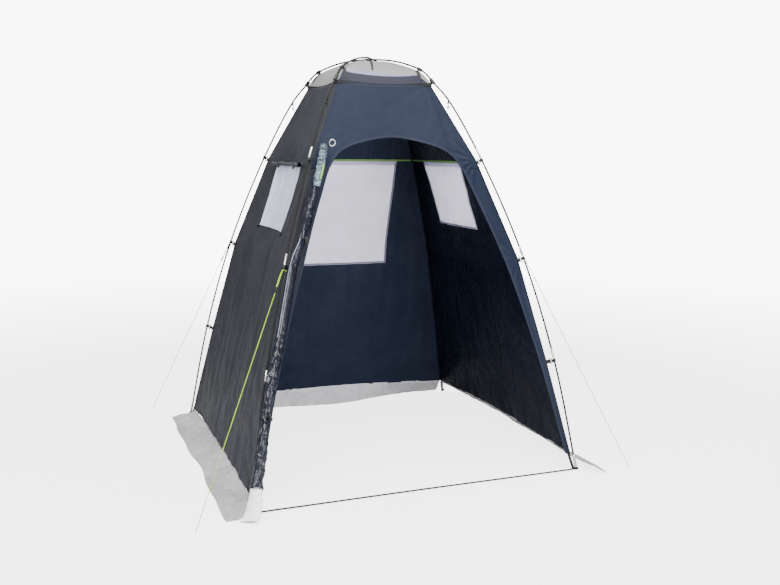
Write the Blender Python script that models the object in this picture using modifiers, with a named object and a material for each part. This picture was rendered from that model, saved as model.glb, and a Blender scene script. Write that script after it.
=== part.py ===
"""Toilet tent with an outside pole frame, three windows and a door rolled up at its corner.

Metres, +Z up. The origin is the middle of the base on the ground. The door faces -Y.
Two sprung poles cross over the roof and stand on the four corners. Four fabric walls and a
roof cap hang inside them from clips. The door is rolled and tied along the front left corner.
"""
import math

import bmesh
import bpy
from mathutils import Matrix, Vector

# Driving dimensions of the pole frame. A station is (half width of the frame, height).
BASE_HALF = 0.825
POLE_STATIONS = (
    (BASE_HALF, 0.0),
    (0.732, 0.545),
    (0.610, 1.046),
    (0.447, 1.526),
    (0.314, 1.829),
    (0.257, 1.913),
    (0.222, 1.963),
    (0.185, 1.989),
    (0.100, 2.024),
    (0.0, 2.040),
)
POLE_RADIUS = 0.00475
POLE_STEP = 0.085
ROOF_STEP = 0.022
ROOF_START = 1.86
FINE_STEP = 0.004
SLOPE_SPAN = 0.006
CROSSING_LIFT = 0.0052
CROSSING_SPREAD = 0.14
FERRULE_LENGTH = 0.048
FERRULE_FACTOR = 1.22
FERRULE_EDGE = 0.0008
FERRULE_CLEARANCE = 0.001
FERRULE_MARGIN = 0.012
FOOT_CAP_HEIGHT = 0.078
FOOT_CAP_RADIUS = 0.0065
FOOT_CAP_SEAT = 0.0014
FOOT_CAP_MARGIN = 0.02

# The fabric body's corner line, as (height, half width), and how its edges bow.
WALL_BOTTOM = 0.080
WALL_TOP = 1.900
FABRIC_STATIONS = (
    (WALL_BOTTOM, 0.800),
    (0.545, 0.702),
    (1.046, 0.5875),
    (1.526, 0.425),
    (WALL_TOP, 0.246),
)
CLIP_HEIGHTS = {"low": 0.545, "middle": 1.046, "top": 1.526}
WALL_THICKNESS = 0.003
WALL_SAG = 0.024
HEM_RISE = 0.026
EAVE_DIP = 0.012
CORNER_INSET = 0.0040
WALL_BAND_ROWS = (3, 3, 4, 3)
WALL_COLUMNS = 12

# Windows: half width, lowest and highest point. The side ones are level with the back one's top.
SIDE_WINDOW = (0.235, 1.170, 1.507)
BACK_WINDOW = (0.320, 0.905, 1.507)
WINDOW_CUT_DEPTH = 0.5
PANE_THICKNESS = 0.0015
PANE_GAP = 0.0005
PANE_CELLS = (4, 5)

# Door opening in the front, as (x, height), from the lower right round to the lower left.
ARCH_STATIONS = (
    (0.783, 0.04),
    (0.682, 0.480),
    (0.576, 0.854),
    (0.447, 1.232),
    (0.392, 1.369),
    (0.345, 1.481),
    (0.293, 1.552),
    (0.237, 1.585),
    (0.120, 1.618),
    (0.0, 1.633),
    (-0.117, 1.629),
    (-0.222, 1.608),
    (-0.313, 1.575),
    (-0.356, 1.500),
    (-0.392, 1.369),
    (-0.447, 1.232),
    (-0.576, 0.854),
    (-0.682, 0.480),
    (-0.783, 0.04),
)
ARCH_STEP = 0.12
ARCH_CUT_FOOT = -0.05
ARCH_CUT_FRONT = -1.0
ARCH_CUT_DEPTH = 0.85

# Roof cap: a shallow dome of four gores.
CAP_GAP = 0.0015
CAP_RISE = 0.1225
CAP_POWER = 3.0
CAP_THICKNESS = 0.002
CAP_CELLS = 10

# Rolled curtain at the top of each window.
CURTAIN_RADIUS = 0.013
CURTAIN_OVERHANG = 0.030
CURTAIN_LIFT = -0.010
CURTAIN_STEPS = 8

# Rolled door: centre line along the front left corner, from its top, as (x, y, z, radius).
DOOR_STATIONS = (
    (-0.366, -0.424, 1.592, 0.019),
    (-0.394, -0.468, 1.500, 0.022),
    (-0.429, -0.503, 1.400, 0.021),
    (-0.479, -0.546, 1.273, 0.026),
    (-0.518, -0.585, 1.167, 0.017),
    (-0.568, -0.620, 1.062, 0.024),
    (-0.615, -0.664, 0.890, 0.025),
    (-0.654, -0.704, 0.738, 0.025),
    (-0.719, -0.773, 0.524, 0.024),
    (-0.746, -0.799, 0.416, 0.018),
    (-0.768, -0.826, 0.300, 0.026),
    (-0.789, -0.850, 0.193, 0.027),
    (-0.812, -0.882, 0.105, 0.031),
    (-0.838, -0.922, 0.040, 0.036),
)
DOOR_STEP = 0.07
# The stretches of the rolled door, as (first station, last station, finish).
DOOR_PIECES = {
    "door_roll_film": (0, 2, "film"),
    "door_roll": (2, 11, "navy"),
    "door_roll_hem": (11, 13, "skirt"),
}
DOOR_JOINT_GAP = 0.0004
DOOR_JOINT_STRAIGHT = 0.008
# Ties round the rolled door, as the station that each one is at.
DOOR_TIES = {"upper": 4, "lower": 9}
TIE_THICKNESS = 0.0022
TIE_HEIGHT = 0.006
TIE_CLEARANCE = 0.0005
TIE_SEGMENTS = 20
REACH_STEP = 0.0002
LONGEST_TAB = 0.12

# Skirts along the ground, as the half width at the ground and how far their ends run.
SKIRT_REACH = 0.945
SKIRT_FRONT_END = -0.895
SKIRT_BACK_END = 0.775
SKIRT_THICKNESS = 0.002
SKIRT_COLUMNS = 14
SKIRT_ROWS = 4
SKIRT_BAND = 0.012
SKIRT_BAND_SHARE = 1.0 / SKIRT_ROWS
SKIRT_SEAM = 0.0011
SKIRT_END_INSET = 0.012
SKIRT_FALL = 0.8
# Waves of a side skirt's outer edge, as (height, turns along, start).
SKIRT_WAVES = ((0.010, 11.0, 0.0), (0.006, 23.0, 1.0))
BACK_SKIRT_LIFT = 0.0012
BACK_SKIRT_TAPER = 0.006
BACK_SKIRT_INSET = 0.004
# How the back skirt is tucked in, as (depth, middle, width), and runs out, as (reach, middle, slope).
BACK_SKIRT_TUCK = (0.055, 0.05, 0.35)
BACK_SKIRT_SPREAD = (0.070, 0.45, 10.0)

# Webbing, clips and lines.
WEBBING_THICKNESS = 0.0024
CLIP_RING_OUTER = 0.0088
CLIP_RING_INNER = 0.0058
CLIP_RING_HEIGHT = 0.014
CLIP_TAB_HEIGHT = 0.021
CLIP_CLEARANCE = 0.0005
CLIP_SEGMENTS = 14
SHOULDER_HEIGHT = 1.976
EAVE_RING_HEIGHT = 0.030
HOOK_TAB_HEIGHT = 0.012
FOOT_RING_OUTER = 0.0115
FOOT_RING_INNER = 0.0082
FOOT_RING_HEIGHT = 0.008
FOOT_RING_LIFT = 0.004
FOOT_STRAP_DROP = 0.0011
FOOT_TAB_OVERLAP = 0.0015
FOOT_TAB_WIDTH = 0.014
FOOT_TAB_CLEARANCE = 0.002
FOOT_TAB_HEEL = 0.0115
EAVE_HOOK_LIFT = 0.004
HANGER_WIDTH = 0.022
HANGER_THICKNESS = 0.003
THRESHOLD_WIDTH = 0.012
THRESHOLD_THICKNESS = 0.002
GUY_RADIUS = 0.00175
GUY_START_DROP = 0.012
GUY_GAP = 0.0006
GUY_START_STEP = 0.001
GUY_ENDS = {
    "front_left": (-1.095, -1.000),
    "front_right": (1.095, -0.885),
    "back_right": (1.030, 1.000),
    "back_left": (-1.030, 1.000),
}

CORNERS = {
    "front_left": (-1, -1),
    "front_right": (1, -1),
    "back_right": (1, 1),
    "back_left": (-1, 1),
}
SIDE_TURNS = {"front": 0.0, "right": 90.0, "back": 180.0, "left": -90.0}
FITTING_GAP = 0.0003
ROOT_TWO = math.sqrt(2.0)


def clear_scene():
    """Remove every object, so that the script starts from an empty scene."""
    for item in list(bpy.data.objects):
        bpy.data.objects.remove(item, do_unlink=True)


def make_collection(name):
    """Make a collection under the scene's own."""
    group = bpy.data.collections.new(name)
    bpy.context.scene.collection.children.link(group)
    return group


def make_material(name, colour, roughness, metallic=0.0, alpha=1.0):
    """Make a Principled material with a base colour, a roughness and a metallic value."""
    material = bpy.data.materials.new(name)
    material.use_nodes = True
    shader = material.node_tree.nodes["Principled BSDF"]
    shader.inputs["Base Color"].default_value = (*colour, 1.0)
    shader.inputs["Roughness"].default_value = roughness
    shader.inputs["Metallic"].default_value = metallic
    shader.inputs["Alpha"].default_value = alpha
    return material


def add_object(name, data, material, group):
    """Link a mesh or a curve as one object with its own material."""
    item = bpy.data.objects.new(name, data)
    item.data.materials.append(material)
    group.objects.link(item)
    return item


def smooth_path(points, step):
    """Sample a centripetal Catmull-Rom curve through points, every step or closer."""
    knots = [Vector(p) for p in points]
    ends = [knots[0] * 2 - knots[1], *knots, knots[-1] * 2 - knots[-2]]
    samples = [knots[0].copy()]
    for index in range(1, len(ends) - 2):
        p0, p1, p2, p3 = ends[index - 1:index + 3]
        t0 = 0.0
        t1 = t0 + max((p1 - p0).length, 1e-6) ** 0.5
        t2 = t1 + max((p2 - p1).length, 1e-6) ** 0.5
        t3 = t2 + max((p3 - p2).length, 1e-6) ** 0.5
        count = max(1, math.ceil((p2 - p1).length / step))
        for part in range(1, count + 1):
            t = t1 + (t2 - t1) * part / count
            a1 = p0 * ((t1 - t) / (t1 - t0)) + p1 * ((t - t0) / (t1 - t0))
            a2 = p1 * ((t2 - t) / (t2 - t1)) + p2 * ((t - t1) / (t2 - t1))
            a3 = p2 * ((t3 - t) / (t3 - t2)) + p3 * ((t - t2) / (t3 - t2))
            b1 = a1 * ((t2 - t) / (t2 - t0)) + a2 * ((t - t0) / (t2 - t0))
            b2 = a2 * ((t3 - t) / (t3 - t1)) + a3 * ((t - t1) / (t3 - t1))
            samples.append(b1 * ((t2 - t) / (t2 - t1)) + b2 * ((t - t1) / (t2 - t1)))
    return samples


def pole_profile(step):
    """Sample one leg of a pole from the ground to the crossing, as (half width, height)."""
    return [(p.x, p.y) for p in smooth_path([(*s, 0.0) for s in POLE_STATIONS], step)]


FINE_PROFILE = pole_profile(FINE_STEP)


def pole_half_width(height):
    """Give a pole's half width at a height, from the fine profile."""
    for (r0, z0), (r1, z1) in zip(FINE_PROFILE, FINE_PROFILE[1:]):
        if z0 <= height <= z1:
            return r0 + (r1 - r0) * (height - z0) / (z1 - z0)
    return FINE_PROFILE[-1][0]


def pole_slope(height):
    """Give how fast a pole's half width changes with height."""
    low, high = height - SLOPE_SPAN, height + SLOPE_SPAN
    return (pole_half_width(high) - pole_half_width(low)) / (2 * SLOPE_SPAN)


def fabric_half_width(height):
    """Give the half width of the fabric body at its corner line."""
    z = min(max(height, FABRIC_STATIONS[0][0]), FABRIC_STATIONS[-1][0])
    for (z0, w0), (z1, w1) in zip(FABRIC_STATIONS, FABRIC_STATIONS[1:]):
        if z0 <= z <= z1:
            return w0 + (w1 - w0) * (z - z0) / (z1 - z0)
    return FABRIC_STATIONS[-1][1]


def wall_sag(across, height):
    """Give how far a wall hangs in from the straight line between its two corners."""
    middle = math.sin(math.pi * (height - WALL_BOTTOM) / (WALL_TOP - WALL_BOTTOM))
    return WALL_SAG * middle * (1 - across * across) ** 2


def hem_height(across):
    """Give the height of a wall's lower edge."""
    return WALL_BOTTOM + HEM_RISE * (1 - across * across)


def eave_height(across):
    """Give the height of a wall's upper edge."""
    return WALL_TOP - EAVE_DIP * (1 - across * across)


def wall_share(v):
    """Give how far up a wall a row lies, so that each station of the corner line has a row."""
    rows_left = v * sum(WALL_BAND_ROWS)
    for count, (low, _), (high, _) in zip(WALL_BAND_ROWS, FABRIC_STATIONS, FABRIC_STATIONS[1:]):
        if rows_left <= count:
            return (low + (high - low) * rows_left / count - WALL_BOTTOM) / (WALL_TOP - WALL_BOTTOM)
        rows_left -= count
    return 1.0


def wall_depth(sideways, height):
    """Give a wall's distance from the middle at a sideways place and a height."""
    half = fabric_half_width(height)
    across = max(-1.0, min(1.0, sideways / half))
    return half - wall_sag(across, height)


def turn(point, degrees):
    """Turn a point about the vertical axis."""
    return Matrix.Rotation(math.radians(degrees), 3, "Z") @ Vector(point)


def mesh_from_grid(name, columns, rows, place):
    """Make an open sheet from a grid, with place giving each point from (u, v) in 0 to 1."""
    sheet = bmesh.new()
    bmesh.ops.create_grid(sheet, x_segments=columns, y_segments=rows, size=1.0)
    for vertex in sheet.verts:
        vertex.co = place((vertex.co.x + 1) / 2, (vertex.co.y + 1) / 2)
    mesh = bpy.data.meshes.new(name)
    sheet.to_mesh(mesh)
    sheet.free()
    return mesh


def add_solidify(item, thickness, offset=-1.0):
    """Give an open sheet its thickness."""
    modifier = item.modifiers.new("Thickness", "SOLIDIFY")
    modifier.thickness = thickness
    modifier.offset = offset
    modifier.use_even_offset = False
    return modifier


def add_cut(item, cutter):
    """Cut one object out of another."""
    modifier = item.modifiers.new("Cut", "BOOLEAN")
    modifier.operation = "DIFFERENCE"
    modifier.object = cutter
    return modifier


def hide_cutter(item):
    """Mark an object as a cutter, which isn't part of the tent."""
    item.hide_render = True
    item.display_type = "WIRE"


def tube(name, points, radius, material, group, radii=None):
    """Make a round bar along points as a curve with filled ends."""
    data = bpy.data.curves.new(name, "CURVE")
    data.dimensions = "3D"
    data.bevel_depth = radius
    data.bevel_resolution = 2
    data.use_fill_caps = True
    spline = data.splines.new("POLY")
    spline.points.add(len(points) - 1)
    for index, point in enumerate(points):
        spline.points[index].co = (*point, 1.0)
        spline.points[index].radius = radii[index] if radii else 1.0
    return add_object(name, data, material, group)


def build_wall(side, inset, finishes, group):
    """Make one wall as a sheet between its corner lines, bowed in between them."""
    def place(u, v):
        across = 2 * u - 1
        share = wall_share(v)
        height = hem_height(across) * (1 - share) + eave_height(across) * share
        half = fabric_half_width(height)
        return turn((across * (half - inset), -half + wall_sag(across, height), height),
                    SIDE_TURNS[side])

    mesh = mesh_from_grid(f"{side}_wall", WALL_COLUMNS, sum(WALL_BAND_ROWS), place)
    finish = finishes["navy" if side in ("front", "back") else "charcoal"]
    wall = add_object(f"{side}_wall", mesh, finish, group)
    add_solidify(wall, WALL_THICKNESS)
    return wall


def build_window(side, size, wall, finishes, group, cutters):
    """Cut a window through a wall and close it with a clear film pane."""
    half, low, high = size
    middle = (low + high) / 2
    turned = Matrix.Rotation(math.radians(SIDE_TURNS[side]), 3, "Z")
    mesh = bpy.data.meshes.new(f"{side}_window_cut")
    block = bmesh.new()
    bmesh.ops.create_cube(block, size=1.0)
    bmesh.ops.scale(block, vec=(2 * half, WINDOW_CUT_DEPTH, high - low), verts=block.verts)
    bmesh.ops.translate(block, vec=(0, -fabric_half_width(middle), middle), verts=block.verts)
    bmesh.ops.rotate(block, cent=(0, 0, 0), matrix=turned, verts=block.verts)
    block.to_mesh(mesh)
    block.free()
    cutter = bpy.data.objects.new(f"{side}_window_cut", mesh)
    cutters.objects.link(cutter)
    hide_cutter(cutter)
    add_cut(wall, cutter)

    def place(u, v):
        sideways = (2 * u - 1) * (half - PANE_GAP)
        height = low + PANE_GAP * 4 + v * (high - low - PANE_GAP * 5)
        return turn((sideways, -wall_depth(sideways, height), height), SIDE_TURNS[side])

    pane_mesh = mesh_from_grid(f"{side}_window_film", *PANE_CELLS, place)
    pane = add_object(f"{side}_window_film", pane_mesh, finishes["film"], group)
    add_solidify(pane, PANE_THICKNESS)


def build_arch_cutter(cutters):
    """Make the door opening's outline as a prism that runs through the front wall."""
    outline = smooth_path([(x, 0.0, z) for x, z in ARCH_STATIONS], ARCH_STEP)
    feet = [Vector((ARCH_STATIONS[end][0], 0, ARCH_CUT_FOOT)) for end in (0, -1)]
    shape = bmesh.new()
    ring = [shape.verts.new((p.x, ARCH_CUT_FRONT, p.z)) for p in (feet[0], *outline, feet[1])]
    face = shape.faces.new(ring)
    bmesh.ops.recalc_face_normals(shape, faces=[face])
    grown = bmesh.ops.extrude_face_region(shape, geom=[face])
    moved = [v for v in grown["geom"] if isinstance(v, bmesh.types.BMVert)]
    bmesh.ops.translate(shape, vec=(0, ARCH_CUT_DEPTH, 0), verts=moved)
    bmesh.ops.recalc_face_normals(shape, faces=shape.faces)
    mesh = bpy.data.meshes.new("door_opening_cut")
    shape.to_mesh(mesh)
    shape.free()
    cutter = bpy.data.objects.new("door_opening_cut", mesh)
    cutters.objects.link(cutter)
    hide_cutter(cutter)
    return cutter


def cap_height(size, across):
    """Give the roof cap's height on the square ring of a size, 0 at the middle and 1 at the eave."""
    dip = EAVE_DIP * (1 - across * across) * size ** CAP_POWER
    return WALL_TOP + CAP_GAP + CAP_RISE * (1 - size ** CAP_POWER) - dip


def build_roof_cap(finishes, group):
    """Make the roof cap as a shallow dome of four gores over the eaves."""
    eave = FABRIC_STATIONS[-1][1]

    def place(u, v):
        x, y = 2 * u - 1, 2 * v - 1
        size = max(abs(x), abs(y))
        across = min(abs(x), abs(y)) / size if size > 0 else 0.0
        return Vector((eave * x, eave * y, cap_height(size, across)))

    mesh = mesh_from_grid("roof_cap", CAP_CELLS, CAP_CELLS, place)
    cap = add_object("roof_cap", mesh, finishes["cap"], group)
    add_solidify(cap, CAP_THICKNESS)


def pole_points(corner, lift):
    """Give one leg's points from its foot cap to the crossing, with a radius factor for each."""
    sx, sy = CORNERS[corner]
    start = FOOT_CAP_HEIGHT + FOOT_CAP_SEAT
    marks = []
    for height in CLIP_HEIGHTS.values():
        low = height + CLIP_RING_HEIGHT / 2 + FERRULE_CLEARANCE
        high = low + FERRULE_LENGTH
        marks += [(low - FERRULE_EDGE, 1.0), (low, FERRULE_FACTOR), (high, FERRULE_FACTOR),
                  (high + FERRULE_EDGE, 1.0)]
    stations = [(pole_half_width(start), start, 1.0)]
    legs = [p for p in pole_profile(POLE_STEP) if p[1] < ROOF_START]
    roof = [p for p in pole_profile(ROOF_STEP) if p[1] >= ROOF_START]
    for half, height in legs + roof:
        near = any(abs(height - m[0]) < FERRULE_MARGIN for m in marks)
        between = any(m0[0] < height < m1[0] for m0, m1 in zip(marks[1::4], marks[2::4]))
        if height > start + FOOT_CAP_MARGIN and not near and not between:
            stations.append((half, height, 1.0))
    stations += [(pole_half_width(m[0]), m[0], m[1]) for m in marks]
    stations.sort(key=lambda s: s[1])
    points = []
    for half, height, factor in stations:
        near_top = max(0.0, 1.0 - half / CROSSING_SPREAD)
        points.append((Vector((sx * half, sy * half, height + lift * near_top)), factor))
    return points


def build_pole(name, first, second, lift, finishes, group):
    """Make one pole from a front corner over the roof to the opposite back corner."""
    up = pole_points(first, lift)
    down = pole_points(second, lift)[::-1][1:]
    whole = up + down
    tube(name, [p for p, _ in whole], POLE_RADIUS, finishes["pole"], group, [f for _, f in whole])


def build_foot_cap(corner, finishes, group):
    """Make a pole's metal foot: a short leaning bar with a flat base on the ground."""
    sx, sy = CORNERS[corner]
    bar = bmesh.new()
    bmesh.ops.create_cone(bar, cap_ends=True, segments=12, radius1=FOOT_CAP_RADIUS,
                          radius2=FOOT_CAP_RADIUS, depth=FOOT_CAP_HEIGHT)
    top_half = pole_half_width(FOOT_CAP_HEIGHT)
    for vertex in bar.verts:
        half = BASE_HALF if vertex.co.z < 0 else top_half
        vertex.co.x += sx * half
        vertex.co.y += sy * half
        vertex.co.z += FOOT_CAP_HEIGHT / 2
    mesh = bpy.data.meshes.new(f"pole_foot_{corner}")
    bar.to_mesh(mesh)
    bar.free()
    add_object(f"pole_foot_{corner}", mesh, finishes["metal"], group)


def joined_mesh(name, body, others):
    """Join or cut simple solids with booleans and give the finished mesh."""
    scratch = bpy.data.objects.new(name, body)
    bpy.context.scene.collection.objects.link(scratch)
    helpers = []
    for mesh, operation in others:
        helper = bpy.data.objects.new(f"{name}_helper", mesh)
        bpy.context.scene.collection.objects.link(helper)
        modifier = scratch.modifiers.new(operation, "BOOLEAN")
        modifier.operation = operation
        modifier.object = helper
        helpers.append(helper)
    graph = bpy.context.evaluated_depsgraph_get()
    result = bpy.data.meshes.new_from_object(scratch.evaluated_get(graph))
    result.name = name
    for item in [scratch, *helpers]:
        bpy.data.objects.remove(item, do_unlink=True)
    return result


def cylinder_mesh(name, radius, height, segments):
    """Make a closed upright cylinder about the origin."""
    solid = bmesh.new()
    bmesh.ops.create_cone(solid, cap_ends=True, segments=segments, radius1=radius,
                          radius2=radius, depth=height)
    mesh = bpy.data.meshes.new(name)
    solid.to_mesh(mesh)
    solid.free()
    return mesh


def box_mesh(name, low, high):
    """Make a closed box between two corners."""
    solid = bmesh.new()
    bmesh.ops.create_cube(solid, size=1.0)
    size = Vector(high) - Vector(low)
    bmesh.ops.scale(solid, vec=size, verts=solid.verts)
    bmesh.ops.translate(solid, vec=(Vector(high) + Vector(low)) / 2, verts=solid.verts)
    mesh = bpy.data.meshes.new(name)
    solid.to_mesh(mesh)
    solid.free()
    return mesh


def ring_with_tab(name, radii, height, reach, tab_height, segments):
    """Make a ring at the origin, with radii (inner, outer), and a webbing tab that runs to -X."""
    inner, outer = radii
    ring = cylinder_mesh(f"{name}_ring", outer, height, segments)
    tab = box_mesh(f"{name}_tab", (-reach, -WEBBING_THICKNESS / 2, -tab_height / 2),
                   (-(inner + outer) / 2, WEBBING_THICKNESS / 2, tab_height / 2))
    bore = cylinder_mesh(f"{name}_bore", inner, height * 3, segments)
    return joined_mesh(name, ring, [(tab, "UNION"), (bore, "DIFFERENCE")])


def clip_mesh(name, reach, height=CLIP_RING_HEIGHT, tab_height=CLIP_TAB_HEIGHT):
    """Make a clip: a ring round the pole, and a webbing tab that runs inwards to the fabric."""
    return ring_with_tab(name, (CLIP_RING_INNER, CLIP_RING_OUTER), height, reach, tab_height, CLIP_SEGMENTS)


def turned_matrix(centre, facing, along):
    """Give the place of a piece from its middle, its X direction and its Z direction."""
    sideways = along.cross(facing).normalized()
    square = sideways.cross(along).normalized()
    turned = Matrix((square, sideways, along)).transposed().to_4x4()
    return Matrix.Translation(centre) @ turned


def clip_matrix(corner, height):
    """Give the place of a clip: its ring's axis along the pole, and its X axis outwards."""
    sx, sy = CORNERS[corner]
    half, slope = pole_half_width(height), pole_slope(height)
    outward = Vector((sx, sy, 0)).normalized()
    along = (outward * (slope * ROOT_TWO) + Vector((0, 0, 1))).normalized()
    return turned_matrix((sx * half, sy * half, height), outward, along)


def build_clips(finishes, group):
    """Make the three clips on each leg, which hold the fabric's corners to the pole."""
    for level, height in CLIP_HEIGHTS.items():
        lean = math.cos(math.atan(pole_slope(height) * ROOT_TWO))
        reach = (pole_half_width(height) - fabric_half_width(height)) * ROOT_TWO * lean
        mesh = clip_mesh(f"clip_{level}", reach - CLIP_CLEARANCE)
        for corner in CORNERS:
            clip = add_object(f"clip_{corner}_{level}", mesh.copy(), finishes["plastic"], group)
            clip.matrix_world = clip_matrix(corner, height)


def nearest_on_pole(half, height):
    """Give the height on a pole nearest to a corner point, and the distance between them."""
    def gap(station):
        return math.hypot((station[0] - half) * ROOT_TWO, station[1] - height)

    best = min(FINE_PROFILE, key=gap)
    return best[1], gap(best)


def reach_to_cap(height, tab_height):
    """Give how far a tab runs from a pole, square to it, until it comes to the roof cap's hip."""
    eave = FABRIC_STATIONS[-1][1]
    place = clip_matrix("back_right", height)
    reach = CLIP_RING_OUTER
    while reach < LONGEST_TAB:
        for along in (-tab_height / 2, 0.0, tab_height / 2):
            point = place @ Vector((-reach, 0.0, along))
            size = min(1.0, point.x / eave)
            if point.z - cap_height(size, 1.0) < CLIP_CLEARANCE:
                return reach
        reach += REACH_STEP
    return reach


def build_roof_hooks(finishes, group):
    """Make the hooks that hold the roof cap up to the poles, at its corners and its shoulders."""
    eave_at, distance = nearest_on_pole(FABRIC_STATIONS[-1][1], WALL_TOP + CAP_GAP + EAVE_HOOK_LIFT)
    shapes = {
        "eave": (eave_at, distance - CLIP_CLEARANCE, EAVE_RING_HEIGHT),
        "shoulder": (SHOULDER_HEIGHT, reach_to_cap(SHOULDER_HEIGHT, HOOK_TAB_HEIGHT), HOOK_TAB_HEIGHT),
    }
    for part, (height, reach, ring) in shapes.items():
        mesh = clip_mesh(f"{part}_hook", reach, ring, HOOK_TAB_HEIGHT)
        for corner in CORNERS:
            hook = add_object(f"{part}_hook_{corner}", mesh.copy(), finishes["plastic"], group)
            hook.matrix_world = clip_matrix(corner, height)


def build_roof_hanger(finishes, group):
    """Make the short strap that carries the middle of the roof cap from the crossing."""
    crossing = POLE_STATIONS[-1][1]
    under_poles = crossing - CROSSING_LIFT - POLE_RADIUS - FITTING_GAP
    on_cap = WALL_TOP + CAP_GAP + CAP_RISE + FITTING_GAP
    across, deep = HANGER_WIDTH / 2, HANGER_THICKNESS / 2
    mesh = box_mesh("roof_hanger", (-across, -deep, on_cap), (across, deep, under_poles))
    add_object("roof_hanger", mesh, finishes["plastic"], group)


def foot_ring_place():
    """Give the half width and the height of the middle of the ring round a pole's foot."""
    height = FOOT_RING_LIFT + FOOT_RING_HEIGHT / 2
    lean = (BASE_HALF - pole_half_width(FOOT_CAP_HEIGHT)) / FOOT_CAP_HEIGHT
    return BASE_HALF - lean * height, height


def build_foot_strap(corner, finishes, group):
    """Make the webbing from a wall's lower corner to the ring round the pole's foot."""
    sx, sy = CORNERS[corner]
    ring = cylinder_mesh("foot_ring", FOOT_RING_OUTER, FOOT_RING_HEIGHT, CLIP_SEGMENTS)
    half, height = foot_ring_place()
    inwards = (FABRIC_STATIONS[0][1] - half) * ROOT_TWO
    top = WALL_BOTTOM - FOOT_STRAP_DROP - height
    low = -FOOT_RING_HEIGHT / 2
    edge = -FOOT_RING_OUTER + FOOT_TAB_OVERLAP
    outer = inwards - FOOT_TAB_CLEARANCE
    outline = (
        (outer - FOOT_TAB_WIDTH, top),
        (outer, top),
        (edge, -low),
        (edge, low),
        (edge - FOOT_TAB_HEEL, low),
    )
    tab = bmesh.new()
    face = tab.faces.new([tab.verts.new((x, -WEBBING_THICKNESS / 2, z)) for x, z in outline])
    grown = bmesh.ops.extrude_face_region(tab, geom=[face])
    moved = [v for v in grown["geom"] if isinstance(v, bmesh.types.BMVert)]
    bmesh.ops.translate(tab, vec=(0, WEBBING_THICKNESS, 0), verts=moved)
    bmesh.ops.recalc_face_normals(tab, faces=tab.faces)
    tab_mesh = bpy.data.meshes.new("foot_tab")
    tab.to_mesh(tab_mesh)
    tab.free()
    bore = cylinder_mesh("foot_bore", FOOT_RING_INNER, FOOT_RING_HEIGHT * 3, CLIP_SEGMENTS)
    mesh = joined_mesh(f"foot_strap_{corner}", ring, [(tab_mesh, "UNION"), (bore, "DIFFERENCE")])
    strap = add_object(f"foot_strap_{corner}", mesh, finishes["webbing"], group)
    strap.rotation_euler = (0, 0, math.atan2(sy, sx))
    strap.location = (sx * half, sy * half, height)


def build_threshold(finishes, group):
    """Make the flat strap on the ground between the two front feet."""
    reach = BASE_HALF - FOOT_CAP_RADIUS - CLIP_CLEARANCE
    mesh = box_mesh("threshold_strap", (-reach, -BASE_HALF - THRESHOLD_WIDTH / 2, 0.0),
                    (reach, -BASE_HALF + THRESHOLD_WIDTH / 2, THRESHOLD_THICKNESS))
    add_object("threshold_strap", mesh, finishes["webbing"], group)


def build_curtain(side, size, finishes, group):
    """Make the curtain rolled up above a window, on the wall's outer face."""
    half = size[0] + CURTAIN_OVERHANG
    height = size[2] + CURTAIN_LIFT
    points = []
    for index in range(CURTAIN_STEPS + 1):
        sideways = half * (2 * index / CURTAIN_STEPS - 1)
        depth = wall_depth(sideways, height)
        slope = (wall_depth(sideways, height - CURTAIN_RADIUS) - depth) / CURTAIN_RADIUS
        depth += (CURTAIN_RADIUS + CLIP_CLEARANCE) * math.hypot(1.0, slope)
        points.append(turn((sideways, -depth, height), SIDE_TURNS[side]))
    tube(f"{side}_curtain_roll", points, CURTAIN_RADIUS, finishes["charcoal"], group)


def door_path():
    """Give the rolled door's centre line, a radius at each point, and each station's place on it."""
    stations = [Vector(s[:3]) for s in DOOR_STATIONS]
    path = smooth_path(stations, DOOR_STEP)
    marks = [min(range(len(path)), key=lambda i: (path[i] - station).length) for station in stations]
    radii = []
    for index, (first, last) in enumerate(zip(marks, marks[1:])):
        start, end = DOOR_STATIONS[index][3], DOOR_STATIONS[index + 1][3]
        radii += [start + (end - start) * step / (last - first) for step in range(last - first)]
    radii.append(DOOR_STATIONS[-1][3])
    return path, radii, marks


def build_door_roll(finishes, group):
    """Make the door, rolled up along the front left corner, in three stretches that meet square."""
    path, radii, marks = door_path()
    for name, (first, last, finish) in DOOR_PIECES.items():
        start, stop = marks[first], marks[last]
        points, sizes = path[start:stop + 1], radii[start:stop + 1]
        if start > 0:
            along = (path[start + 1] - path[start - 1]).normalized()
            points[:1] = [path[start] + along * step for step in (DOOR_JOINT_GAP / 2, DOOR_JOINT_STRAIGHT)]
            sizes.insert(0, sizes[0])
        if stop < len(path) - 1:
            along = (path[stop + 1] - path[stop - 1]).normalized()
            points[-1:] = [path[stop] - along * step for step in (DOOR_JOINT_STRAIGHT, DOOR_JOINT_GAP / 2)]
            sizes.append(sizes[-1])
        tube(name, points, sizes[0], finishes[finish], group, [size / sizes[0] for size in sizes])


def arch_half_width(height):
    """Give the door opening's edge, as a distance from the middle, at a height below its shoulder."""
    for (x0, z0), (x1, z1) in zip(ARCH_STATIONS, ARCH_STATIONS[1:]):
        if x0 > 0 and z0 <= height <= z1:
            return x0 + (x1 - x0) * (height - z0) / (z1 - z0)
    return 0.0


def front_face(x, height):
    """Give the front wall's outer face, as y, at a sideways place and a height."""
    half = fabric_half_width(height)
    return wall_sag(max(-1.0, min(1.0, x / (half - CORNER_INSET))), height) - half


def strip_clearance(place, reach):
    """Give how far the end of a tie's tab is from the front wall's outer face."""
    thin, tall = WEBBING_THICKNESS / 2, TIE_HEIGHT / 2
    ends = [place @ Vector((-reach, y, z)) for y in (-thin, thin) for z in (-tall, tall)]
    return min(front_face(end.x, end.z) - end.y for end in ends)


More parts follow.
